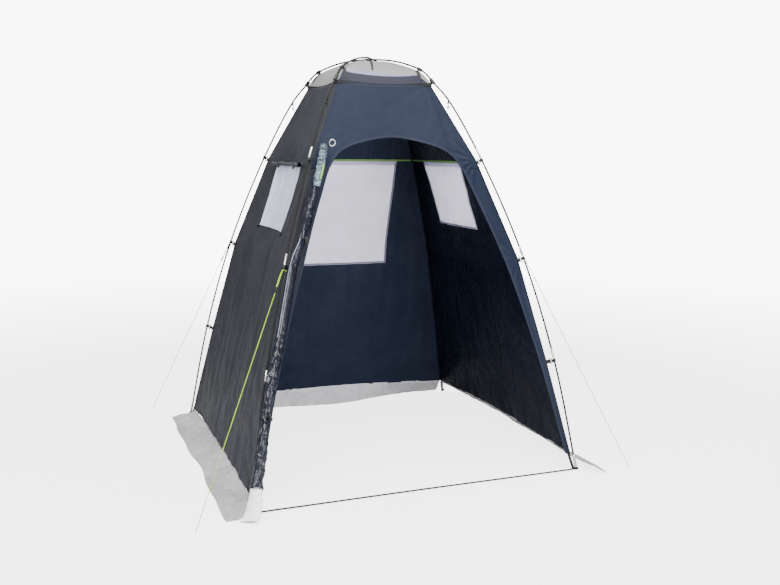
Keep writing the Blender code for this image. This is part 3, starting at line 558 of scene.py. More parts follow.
def to_side(side: Side, sideways: np.ndarray, depth: np.ndarray, height: np.ndarray) -> np.ndarray:
    """Turn places on the front, as sideways, distance outwards and height, to a side of the tent."""
    angle = math.radians(side.value)
    x, y = sideways, -depth
    return np.stack([x * math.cos(angle) - y * math.sin(angle), x * math.sin(angle) + y * math.cos(angle),
                     height + 0 * x], axis=-1)


def ripples(seed: int, x: np.ndarray, z: np.ndarray, lengths: tuple[float, float], count: int = 14) -> np.ndarray:
    """Give a smooth random field about zero.

    Args:
        seed: The seed of the random draws.
        x: First coordinate, in metres.
        z: Second coordinate, in metres.
        lengths: Typical wavelengths along the two coordinates.
        count: How many waves are added.

    Returns:
        Values of about -1.5 to 1.5.
    """
    draw = np.random.RandomState(seed)
    total = np.zeros_like(x)
    for _ in range(count):
        fx, fz = draw.normal(0, 0.8, 2) / np.array(lengths)
        total = total + np.cos(TAU * (fx * x + fz * z) + draw.uniform(0, TAU))
    return total / math.sqrt(count)


def soft_step(value: np.ndarray, low: float, high: float) -> np.ndarray:
    """Give a smooth step from 0 at low to 1 at high."""
    share = np.clip((value - low) / (high - low), 0.0, 1.0)
    return share * share * (3 - 2 * share)


@dataclass
class Creases:
    """The folds and creases of the tent's cloth, as a distance inwards from the plain surface."""

    shape: TentShape
    fan: float = 0.0065
    fan_reach: float = 0.16
    rays: float = 7.0
    drape: float = 0.0035
    crumple: float = 0.0014
    wall_pull: dict = field(default_factory=lambda: {-1: (1.6, 1.1, 0.9, 0.8, 0.25), 1: (1.6, 1.1, 0.9, 0.8, 0.25)})
    front_pull: dict = field(default_factory=lambda: {-1: (1.0, 0.8, 0.6, 0.15, 0.05), 1: (1.3, 1.2, 1.2, 1.5, 0.10)})

    def fans(self, seed: int, strengths: dict, x: np.ndarray, z: np.ndarray) -> np.ndarray:
        """Give the creases that run from each clip and each lower corner into a wall."""
        total = np.zeros_like(x)
        heights = (self.shape.bottom, *self.shape.clip_heights, self.shape.top)
        for index, height in enumerate(heights):
            for sign in (-1, 1):
                strength = strengths[sign][index]
                dx = (float(self.shape.half(height)) - sign * x)
                dz = z - height
                reach = np.hypot(dx, dz)
                angle = np.arctan2(dz, dx)
                wobble = 0.5 * np.sin(9.0 * reach + index + sign)
                ray = (1 - np.abs(np.sin(self.rays * angle + wobble + seed + 1.7 * index + sign))) ** 1.6 - 0.27
                length = self.fan_reach * (1.0 + 0.5 * math.sin(seed * 3.1 + index * 2.3 + sign))
                total = total + strength * ray * np.exp(-reach / length) * soft_step(reach, 0.0, 0.07)
        return self.fan * total

    def inwards(self, side: Side, across: np.ndarray, x: np.ndarray, z: np.ndarray) -> np.ndarray:
        """Give the distance inwards at a place on a wall.

        Args:
            side: The wall's side.
            across: The place's share of the half width, from -1 to 1.
            x: The distance sideways from the wall's middle.
            z: The height.

        Returns:
            The distance, which is zero at the corner lines.
        """
        seed = 11 + side.value // 90
        folds = self.drape * ripples(seed, x, z, (0.13, 1.1)) * soft_step(-z, -1.35, -0.7) * soft_step(z, 0.15, 0.55)
        hang = self.drape * 0.8 * ripples(seed + 20, x, z, (0.45, 0.45))
        ridge = np.abs(ripples(seed + 40, x, z, (0.10, 0.22)))
        low = 1 - soft_step(z, 0.15, 0.65)
        small = 0.6 - np.abs(ripples(seed + 60, x, z, (0.20, 0.26), 18))
        crumple = self.crumple * (0.8 - ridge) + 0.0038 * low * small
        edge = soft_step(1 - np.abs(across), 0.0, 0.10)
        calm = 0.35 if side is Side.FRONT else 1.0
        pleats = 0.0024 * ripples(seed + 80, x + 0.22 * z, z, (0.055, 0.9)) * soft_step(x, 0.08, 0.30)
        strengths = self.front_pull if side is Side.FRONT else self.wall_pull
        folded = pleats if side is Side.FRONT else 0.0
        return edge * (calm * (folds + hang + crumple) + folded + self.fans(seed, strengths, x, z))


def shaped_sheet(name: str, columns: int, rows: int, place: Place, flat: Place | None = None,
                 keep: Callable[[float, float], bool] | None = None) -> bpy.types.Mesh:
    """Shape a grid into a sheet.

    Args:
        name: The mesh's name.
        columns: Cells along u.
        rows: Cells along v.
        place: Gives the points from u and v, each from 0 to 1.
        flat: Gives the flat map in metres from u and v.
        keep: Says from a cell's middle whether it stays.

    Returns:
        The mesh.
    """
    sheet = bmesh.new()
    bmesh.ops.create_grid(sheet, x_segments=columns, y_segments=rows, size=0.5)
    bmesh.ops.translate(sheet, vec=(0.5, 0.5, 0.0), verts=sheet.verts)
    if keep:
        gone = [f for f in sheet.faces if not keep(*f.calc_center_median()[:2])]
        bmesh.ops.delete(sheet, geom=gone, context="FACES")
    mesh = bpy.data.meshes.new(name)
    sheet.to_mesh(mesh)
    sheet.free()
    share = np.zeros(len(mesh.vertices) * 3)
    mesh.vertices.foreach_get("co", share)
    u, v = share.reshape(-1, 3)[:, 0], share.reshape(-1, 3)[:, 1]
    mesh.vertices.foreach_set("co", np.asarray(place(u, v)).reshape(-1))
    lay_flat(mesh, flat(u, v) if flat else np.stack([u, v], axis=-1))
    mesh.update()
    return mesh


def lay_flat(mesh: bpy.types.Mesh, spots: np.ndarray) -> None:
    """Store each vertex's place on the flat cloth as the mesh's flat map."""
    layer = mesh.uv_layers.get("flat") or mesh.uv_layers.new(name="flat")
    corner = np.zeros(len(mesh.loops), dtype=np.int32)
    mesh.loops.foreach_get("vertex_index", corner)
    layer.data.foreach_set("uv", np.asarray(spots)[corner].reshape(-1))


def path_frames(path: np.ndarray, up: Sequence[float] = (0.0, 0.0, 1.0)) -> tuple[np.ndarray, np.ndarray]:
    """Give two directions square to a path at each of its points, turning as little as they can."""
    ahead = np.gradient(path, axis=0)
    ahead /= np.linalg.norm(ahead, axis=1, keepdims=True)
    first = np.asarray(up, float)
    normals = []
    for direction in ahead:
        first = first - direction * float(first @ direction)
        if np.linalg.norm(first) < 1e-6:
            first = np.cross(direction, (1.0, 0.3, 0.2))
        first = first / np.linalg.norm(first)
        normals.append(first)
    normals = np.array(normals)
    return normals, np.cross(ahead, normals)


def swept(name: str, path: np.ndarray, section: Callable[[np.ndarray, np.ndarray], tuple], sides: int,
          up: Sequence[float] = (0.0, 0.0, 1.0), closed: bool = False) -> bpy.types.Mesh:
    """Sweep a closed section along a path.

    Args:
        name: The mesh's name.
        path: The path's points as rows.
        section: Gives the two offsets from the angle and the share along.
        sides: How many sides the section has.
        up: The first offset's direction, as near as it can be.
        closed: Whether the path's ends meet.

    Returns:
        The closed mesh.
    """
    normals, sideways = path_frames(path, up)
    if closed:
        normals[-1], sideways[-1] = normals[0], sideways[0]
    rows = len(path) - 1
    lengths = np.concatenate([[0], np.cumsum(np.linalg.norm(np.diff(path, axis=0), axis=1))])

    def place(u: np.ndarray, v: np.ndarray) -> np.ndarray:
        spot = np.rint(v * rows).astype(int)
        first, second = section(u * TAU, v)
        return path[spot] + normals[spot] * first[:, None] + sideways[spot] * second[:, None]

    mesh = shaped_sheet(name, sides, rows, place, lambda u, v: np.stack([u * TAU, np.interp(v * rows, range(rows + 1), lengths)], axis=-1))
    solid = bmesh.new()
    solid.from_mesh(mesh)
    bmesh.ops.remove_doubles(solid, verts=solid.verts, dist=1e-6)
    rims = [e for e in solid.edges if e.is_boundary]
    if rims:
        bmesh.ops.holes_fill(solid, edges=rims, sides=0)
    bmesh.ops.recalc_face_normals(solid, faces=solid.faces)
    solid.to_mesh(mesh)
    solid.free()
    return mesh


def round_bar(name: str, path: np.ndarray, radius: float | np.ndarray, sides: int = 10,
              up: Sequence[float] = (0.0, 0.0, 1.0), closed: bool = False) -> bpy.types.Mesh:
    """Sweep a circle along a path, with one radius or one for each point."""
    radii = np.broadcast_to(np.asarray(radius, float), (len(path),))

    def section(angle: np.ndarray, share: np.ndarray) -> tuple:
        size = radii[np.rint(share * (len(path) - 1)).astype(int)]
        return size * np.cos(angle), size * np.sin(angle)

    return swept(name, path, section, sides, up, closed)


def flat_bar(name: str, path: np.ndarray, width: float, thickness: float,
             up: Sequence[float] = (0.0, 0.0, 1.0)) -> bpy.types.Mesh:
    """Sweep a strap's section, a rectangle with round edges, along a path; up is its broad face's way."""
    def section(angle: np.ndarray, share: np.ndarray) -> tuple:
        power = 0.35
        wide = np.sign(np.sin(angle)) * np.abs(np.sin(angle)) ** power
        thin = np.sign(np.cos(angle)) * np.abs(np.cos(angle)) ** power
        return thin * thickness / 2, wide * width / 2

    return swept(name, path, section, 12, up)


def joined(name: str, meshes: Sequence[bpy.types.Mesh]) -> bpy.types.Mesh:
    """Join meshes into one mesh of separate bodies."""
    whole = bmesh.new()
    for mesh in meshes:
        whole.from_mesh(mesh)
        bpy.data.meshes.remove(mesh)
    result = bpy.data.meshes.new(name)
    whole.to_mesh(result)
    whole.free()
    return result


def rounded_box(name: str, size: Sequence[float], place: Matrix, edge: float = 0.001,
                segments: int = 2) -> bpy.types.Mesh:
    """Make a box with rounded edges at a place."""
    block = bmesh.new()
    bmesh.ops.create_cube(block, size=1.0)
    bmesh.ops.scale(block, vec=size, verts=block.verts)
    bmesh.ops.bevel(block, geom=list(block.edges), offset=edge, segments=segments, affect="EDGES",
                    profile=0.5, material=-1)
    bmesh.ops.transform(block, matrix=place, verts=block.verts)
    mesh = bpy.data.meshes.new(name)
    block.to_mesh(mesh)
    block.free()
    mesh.uv_layers.new(name="flat")
    return mesh


def turned_place(centre: Sequence[float], facing: Sequence[float], along: Sequence[float]) -> Matrix:
    """Give the place of a piece from its middle, its X direction and its Z direction."""
    axis = Vector(along).normalized()
    sideways = axis.cross(Vector(facing)).normalized()
    square = sideways.cross(axis).normalized()
    return Matrix.Translation(Vector(centre)) @ Matrix((square, sideways, axis)).transposed().to_4x4()


class Shop:
    """Adds finished pieces to the scene and reports them."""

    def __init__(self) -> None:
        """Start with no piece."""
        self.materials = Materials()
        self.count = 0

    def add(self, name: str, mesh: bpy.types.Mesh, finish: Finish, replaces: Sequence[str] = (),
            thickness: float = 0.0, outwards: float = -1.0, smooth_angle: float = 40.0,
            inner: Finish | None = None) -> bpy.types.Object:
        """Add a piece that rides on the tent.

        Args:
            name: The piece's name.
            mesh: Its mesh, in place.
            finish: Its finish.
            replaces: The solids that it stands for.
            thickness: The cloth's thickness, or 0 for a closed mesh.
            outwards: Which way the thickness goes, -1 against the normals.
            smooth_angle: The largest angle that is shaded smooth, in degrees.
            inner: The finish of a cloth's other face, where it differs.

        Returns:
            The piece's object.
        """
        item = bpy.data.objects.new(name, mesh)
        bpy.context.scene.collection.objects.link(item)
        mesh.materials.clear()
        mesh.materials.append(self.materials.of(finish))
        mesh.shade_smooth()
        mesh.set_sharp_from_angle(angle=math.radians(smooth_angle))
        if thickness:
            modifier = item.modifiers.new("Thickness", "SOLIDIFY")
            modifier.thickness = thickness
            modifier.offset = outwards
            modifier.use_even_offset = False
            if inner:
                mesh.materials.append(self.materials.of(inner))
                modifier.material_offset = 1
        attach(item, "root")
        if replaces:
            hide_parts(*replaces)
        self.count += 1
        LOG.info("piece %d: %s, %d faces", self.count, name, len(mesh.polygons))
        return item

    def dress(self, node: str, finish: Finish) -> None:
        """Give a solid that stays its finish."""
        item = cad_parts[node]
        item.data.materials.clear()
        item.data.materials.append(self.materials.of(finish))
        LOG.info("dressed %s", node)


@dataclass
class Window:
    """A film window in a wall."""

    half: float
    low: float
    high: float


@dataclass
class Wall:
    """A fabric wall with a film window, its binding and the piping above it."""

    side: Side
    finish: Finish
    window: Window
    shape: TentShape
    creases: Creases
    thickness: float = 0.0010
    columns: int = 132
    row_shares: tuple = (0.60, 0.17, 0.23)
    rows: int = 150
    inset: float = 0.0
    inner: Finish = Finish.DARK_INNER
    hollow: float = 0.0
    hem_drop: float = 0.0
    fold_height: float = 0.20
    fold_depth: float = 0.0055

    def column_map(self, u: np.ndarray, height: np.ndarray) -> tuple[np.ndarray, np.ndarray]:
        """Give the share of the half width and the sideways place, with the window's sides upright."""
        across = 2 * u - 1
        half = self.shape.half(height) - self.inset
        inner = np.minimum(self.window.half, 0.80 * half)
        share = self.inner_share
        beyond = inner + (np.abs(across) - share) / (1 - share) * (half - inner)
        x = np.where(np.abs(across) <= share, np.abs(across) / share * inner, beyond)
        return across, np.sign(across) * x

    @property
    def inner_share(self) -> float:
        """Give the share of the columns that lie in the window's width, as whole columns."""
        middle = float(self.shape.half((self.window.low + self.window.high) / 2))
        return round(self.columns / 2 * self.window.half / middle) / (self.columns / 2)

    def height_at(self, u: np.ndarray, v: np.ndarray) -> np.ndarray:
        """Give the height at a place of the grid, level along the window's lower and upper edges."""
        across = 2 * u - 1
        marks = np.cumsum([round(share * self.rows) for share in self.row_shares])
        row = v * marks[-1]
        low, high = self.window.low, self.window.high
        hem, eave = self.shape.hem(across) - self.hem_drop, self.shape.eave(across)
        below = hem + (low - hem) * row / marks[0]
        inside = low + (high - low) * (row - marks[0]) / (marks[1] - marks[0])
        above = high + (eave - high) * (row - marks[1]) / (marks[2] - marks[1])
        return np.where(row <= marks[0], below, np.where(row <= marks[1], inside, above))

    def gathers(self, x: np.ndarray, height: np.ndarray) -> np.ndarray:
        """Give the upright gathered folds above the window."""
        start = self.window.high + 0.012
        rise = (height - start) / self.fold_height
        shape = np.clip(rise * 12, 0, 1) * np.exp(-np.clip(rise, 0, None) * 1.6) * (rise > 0)
        wave = np.abs(np.sin(x * 88.0 + 0.7 * np.sin(x * 31.0) + rise * 0.6)) - 0.5
        edge = soft_step(self.shape.half(height) - np.abs(x), 0.0, 0.08)
        return self.fold_depth * wave * shape * edge

    def depth(self, x: np.ndarray, height: np.ndarray) -> np.ndarray:
        """Give the cloth's distance from the tent's middle."""
        across = x / (self.shape.half(height) - self.inset)
        inwards = self.creases.inwards(self.side, across, x, height) + self.gathers(x, height)
        return self.plain_depth(x, height) - inwards

    def plain_depth(self, x: np.ndarray, height: np.ndarray) -> np.ndarray:
        """Give the distance of the cloth without its creases from the tent's middle."""
        half = self.shape.half(height)
        across = np.clip(x / (half - self.inset), -1, 1)
        tuck = self.hollow * np.exp(-((height - 1.33) / 0.28) ** 2) * (1 - across ** 2) ** 2
        return half - self.shape.wall_sag(across, height) - tuck

    def place(self, u: np.ndarray, v: np.ndarray) -> np.ndarray:
        """Give the cloth's points."""
        height = self.height_at(u, v)
        _, x = self.column_map(u, height)
        return to_side(self.side, x, self.depth(x, height), height)

    def flat(self, u: np.ndarray, v: np.ndarray) -> np.ndarray:
        """Give the cloth's flat map."""
        height = self.height_at(u, v)
        return np.stack([self.column_map(u, height)[1], height], axis=-1)

    def in_window(self, u: float, v: float) -> bool:
        """Say whether a cell of the grid lies in the window."""
        marks = np.cumsum([round(share * self.rows) for share in self.row_shares])
        return abs(2 * u - 1) < self.inner_share and marks[0] < v * marks[2] < marks[1]

    def build(self, shop: Shop) -> None:
        """Build the wall, its film, its binding and its piping."""
        label = self.side.name.lower()
        rows = sum(round(share * self.rows) for share in self.row_shares)
        mesh = shaped_sheet(f"{label}_wall_cloth", self.columns, rows, self.place, self.flat,
                            keep=lambda u, v: not self.in_window(u, v))
        cloth = shop.add(f"{label}_wall_cloth", mesh, self.finish, [f"{label}_wall"], self.thickness,
                         inner=self.inner)
        self.build_film(shop, label)
        self.build_binding(shop, label)
        self.build_piping(shop, label)

    def build_film(self, shop: Shop, label: str) -> None:
        """Build the film behind the window's edge."""
        margin, behind = 0.010, self.thickness + 0.0005
        half, low, high = self.window.half + margin, self.window.low - margin, self.window.high + margin

        def place(u: np.ndarray, v: np.ndarray) -> np.ndarray:
            x, height = (2 * u - 1) * half, low + v * (high - low)
            rim = soft_step(np.minimum(half - np.abs(x), np.minimum(height - low, high - height)), 0.012, 0.05)
            wave = 0.0015 * np.abs(ripples(200 + self.side.value, x, height, (0.3, 0.3))) + 0.003
            smooth = self.plain_depth(x, height) - wave
            depth = self.depth(x, height) * (1 - rim) + smooth * rim
            return to_side(self.side, x, depth - behind, height)

        mesh = shaped_sheet(f"{label}_window", 60, 60, place,
                            lambda u, v: np.stack([u * 2 * half, v * (high - low)], axis=-1))
        film = shop.add(f"{label}_window", mesh, Finish.FILM, [f"{label}_window_film"], 0.0004)

    def edge_ring(self, offset: np.ndarray, share: np.ndarray) -> tuple[np.ndarray, np.ndarray]:
        """Give places on a rectangle round the window, a distance out from its edge."""
        half, low, high = self.window.half + offset, self.window.low - offset, self.window.high + offset
        turn = (share * 4) % 4
        part = turn % 1.0
        x = np.select([turn < 1, turn < 2, turn < 3], [half * (2 * part - 1), half, half * (1 - 2 * part)], -half)
        z = np.select([turn < 1, turn < 2, turn < 3], [low, low + (high - low) * part, high],
                      high - (high - low) * part)
        return x, z

    def build_binding(self, shop: Shop, label: str) -> None:
        """Build the tape that is sewn round the window, inside and outside."""
        width, proud = 0.0075, 0.0006
        for name, level, finish in (("outer", proud, self.finish), ("inner", -self.thickness - proud * 2, Finish.BINDING)):
            def place(u: np.ndarray, v: np.ndarray, level: float = level) -> np.ndarray:
                x, z = self.edge_ring((v - 0.15) * width, u)
                return to_side(self.side, x, self.depth(x, z) + level, z)

            mesh = shaped_sheet(f"{label}_window_{name}_binding", 160, 3, place,
                                lambda u, v: np.stack([u * 2.0, v * width], axis=-1))
            weld(mesh)
            shop.add(f"{label}_window_{name}_binding", mesh, finish, thickness=0.0005,
                     outwards=1.0 if name == "outer" else -1.0)

    def build_piping(self, shop: Shop, label: str) -> None:
        """Build the lime piping along the seam above the window, on the wall's inner face."""
        height = self.window.high + 0.006
        reach = float(self.shape.half(height)) - 0.012
        x = np.linspace(-reach, reach, 160)
        path = to_side(self.side, x, self.depth(x, height + 0 * x) - self.thickness - 0.0022, height + 0 * x)
        facing = to_side(self.side, np.zeros(1), np.ones(1), np.zeros(1))[0]
        mesh = flat_bar(f"{label}_seam_piping", path, 0.0095, 0.0022, tuple(facing))
        shop.add(f"{label}_seam_piping", mesh, Finish.PIPING)


def weld(mesh: bpy.types.Mesh, distance: float = 1e-6) -> None:
    """Merge the points of a mesh that meet."""
    sheet = bmesh.new()
    sheet.from_mesh(mesh)
    bmesh.ops.remove_doubles(sheet, verts=sheet.verts, dist=distance)
    sheet.to_mesh(mesh)
    sheet.free()


def wound_ripples(seed: int, angle: np.ndarray, along: np.ndarray, length: float, count: int = 12) -> np.ndarray:
    """Give a smooth random field on a roll, which meets itself after a full turn.

    Args:
        seed: The seed of the random draws.
        angle: The angle round the roll.
        along: The distance along the roll.
        length: The typical wavelength along the roll.
        count: How many waves are added.

    Returns:
        Values of about -1.5 to 1.5.
    """
    draw = np.random.RandomState(seed)
    total = np.zeros_like(angle)
    for _ in range(count):
        turns = draw.randint(-4, 5)
        total = total + np.cos(turns * angle + TAU * draw.normal(0, 1) * along / length + draw.uniform(0, TAU))
    return total / math.sqrt(count)


@dataclass
class Roll:
    """A cloth rolled up along a path, as one wound sheet whose layers lie inside each other."""

    name: str
    path: np.ndarray
    radii: np.ndarray
    turns: int
    finish: Finish
    replaces: tuple
    flat: tuple[float, float]
    rests_on: tuple
    seed: int
    depth: np.ndarray | float = 0.08
    fold_length: float = 0.16
    up: tuple = (0.0, -1.0, 0.0)
    core: float = 0.22
    inner_points: int = 12
    outer_points: int = 36
    start: float = 0.0
    ties: tuple = ()
    squash: np.ndarray | float = 1.0
    spread: np.ndarray | float = 1.0

    def angles(self) -> np.ndarray:
        """Give the turn that each column lies at, with finer steps on the two outer layers."""
        inner = np.linspace(0.0, self.turns - 2, (self.turns - 2) * self.inner_points + 1)
        outer = np.linspace(self.turns - 2, self.turns, 2 * self.outer_points + 1)
        return np.concatenate([inner, outer[1:]])

    def swell(self, angle: np.ndarray, along: np.ndarray, depth: np.ndarray) -> np.ndarray:
        """Give how much wider or narrower the roll is at a place, as a factor."""
        broad = 0.45 - np.abs(wound_ripples(self.seed, angle, along, self.fold_length))
        sharp = 0.40 - np.abs(wound_ripples(self.seed + 1, angle, along, self.fold_length * 0.36))
        gather = np.zeros_like(angle)
        for spot in self.ties:
            gather = gather + np.cos(9.0 * angle + 2.0 * np.sin(angle)) * np.exp(-np.abs(along - spot) / 0.035)
        return 1.0 + depth * (broad + 0.55 * sharp) + 0.07 * gather

    def surface(self, turn: np.ndarray, row: np.ndarray) -> np.ndarray:
        """Give the cloth's points from a turn and a row of the path."""
        gaps = np.linalg.norm(np.diff(self.path, axis=0), axis=1)
        lengths = np.concatenate([[0.0], np.cumsum(gaps)])
        first, second = path_frames(self.path, self.up)
        angle = TAU * turn + self.start
        depth = np.broadcast_to(np.asarray(self.depth, float), (len(self.path),))[row]
        size = self.radii[row] * (self.core + (1 - self.core) * turn / self.turns)
        size = size * self.swell(angle, lengths[row], depth)
        thin, wide = (np.broadcast_to(np.asarray(v, float), (len(self.path),))[row] for v in (self.squash, self.spread))
        points = (self.path[row] + first[row] * (size * thin * np.cos(angle))[:, None]
                  + second[row] * (size * wide * np.sin(angle))[:, None])
        points[:, 2] = np.maximum(points[:, 2], 0.0006)
        return points

    def build(self, shop: "Shop") -> bpy.types.Object:
        """Build the roll."""
        turns = self.angles()
        columns, rows = len(turns) - 1, len(self.path) - 1

        def place(u: np.ndarray, v: np.ndarray) -> np.ndarray:
            return self.surface(turns[np.rint(u * columns).astype(int)], np.rint(v * rows).astype(int))

        mesh = shaped_sheet(self.name, columns, rows, place,
                            lambda u, v: np.stack([u * self.flat[0], v * self.flat[1]], axis=-1))
        item = shop.add(self.name, mesh, self.finish, self.replaces)
        return item


def toggle(centre: Sequence[float], along: Sequence[float], length: float = 0.024,
           radius: float = 0.0046) -> bpy.types.Mesh:
    """Make a small barrel toggle with a waist for its cord."""
    shares = np.array([0.0, 0.03, 0.12, 0.38, 0.44, 0.56, 0.62, 0.88, 0.97, 1.0])
    sizes = np.array([0.45, 0.80, 1.0, 1.0, 0.72, 0.72, 1.0, 1.0, 0.80, 0.45]) * radius
    way = np.asarray(along, float) / np.linalg.norm(along)
    path = np.asarray(centre, float) + way * ((shares - 0.5) * length)[:, None]
    return round_bar("toggle", path, sizes, 14, (0.3, -1.0, 0.2))


def ring_path(centre: np.ndarray, first: np.ndarray, second: np.ndarray, radius: float,
              count: int = 36) -> np.ndarray:
    """Give a closed circle's points, the last the same as the first."""
    angle = np.linspace(0.0, TAU, count + 1)[:, None]
    return centre + radius * (np.cos(angle) * first + np.sin(angle) * second)


@dataclass
class Curtain:
    """A curtain rolled up at the top of a window and held by two cord loops with toggles."""

    wall: "Wall"
    shape: TentShape
    radius: float = 0.0118
    overhang: float = 0.026
    lift: float = -0.010
    cord: float = 0.0013
    loops: float = 0.66

    def route(self, sideways: np.ndarray) -> np.ndarray:
        """Give the roll's centre line, which hangs a little between its loops."""
        height = self.wall.window.high + self.lift
        slope = (self.shape.half(height - 0.01) - self.shape.half(height)) / 0.01
        base = self.wall.plain_depth(sideways, np.full_like(sideways, height))
        depth = base + (self.radius + 0.0035) * math.hypot(1.0, slope)
        held = self.wall.window.half * self.loops
        drop = 0.0035 * np.sin(np.pi * np.clip((np.abs(sideways) - held) / 0.1, 0, 1)) + 0.002 * np.cos(
            np.pi * sideways / held)
        return to_side(self.wall.side, sideways, depth, height - drop)

    def build(self, shop: "Shop") -> None:
        """Build the roll, its loops and the toggles at the window's corners."""
        label = self.wall.side.name.lower()
        window = self.wall.window
        reach = window.half + self.overhang
        sideways = np.linspace(-reach, reach, 110)
        path = self.route(sideways)
        tied = 1 - 0.12 * sum(np.exp(-((sideways - sign * window.half * self.loops) / 0.012) ** 2) for sign in (-1, 1))
        tall = window.high - window.low
        turns = 6 if tall < 0.4 else 11
        Roll(f"{label}_rolled_curtain", path, self.radius * tied, turns, Finish.CURTAIN,
             (f"{label}_curtain_roll",), (round(tall + 0.06, 3), round(2 * reach + 0.01, 3)),
             (f"{label}_wall_cloth",), 300 + self.wall.side.value, 0.07, 0.11, (0.0, 0.0, 1.0),
             outer_points=24).build(shop)
        self.build_loops(shop, label)

    def build_loops(self, shop: "Shop", label: str) -> None:
        """Build the two cord loops and every toggle of the curtain."""
        cords, toggles = [], []
        window = self.wall.window
        side_way = to_side(self.wall.side, np.ones(1), np.zeros(1), np.zeros(1))[0]
        out_way = to_side(self.wall.side, np.zeros(1), np.ones(1), np.zeros(1))[0]
        up_way = np.array((0.0, 0.0, 1.0))
        for sign in (-1, 1):
            spot = sign * window.half * self.loops
            centre = self.route(np.array([spot]))[0]
            cords.append(round_bar("loop", ring_path(centre, out_way, up_way, self.radius + 0.0006), self.cord, 8,
                                   tuple(side_way), closed=True))
            hang = centre + out_way * (self.radius * 0.75) - up_way * (self.radius + 0.006)
            toggles.append(toggle(hang, side_way * 0.9 + up_way * 0.3 * sign, 0.022, 0.0052))
            cords.append(round_bar("stem", np.linspace(centre + out_way * self.radius - up_way * 0.004, hang, 5),
                                   self.cord, 8))
            corner_x = sign * (window.half + 0.012)
            height = window.low - 0.004
            depth = float(self.wall.depth(np.array([corner_x]), np.array([height]))[0])
            foot = to_side(self.wall.side, np.array([corner_x]), np.array([depth + 0.007]), np.array([height]))[0]
            toggles.append(toggle(foot, side_way * 0.8 - up_way * 0.5 * sign, 0.024, 0.0056))
            cords.append(round_bar("stitch", np.linspace(foot - out_way * 0.0075, foot, 4), self.cord * 1.4, 8))
        shop.add(f"{label}_curtain_cords", joined("cords", cords), Finish.CORD)
        shop.add(f"{label}_curtain_toggles", joined("toggles", toggles), Finish.PLASTIC)


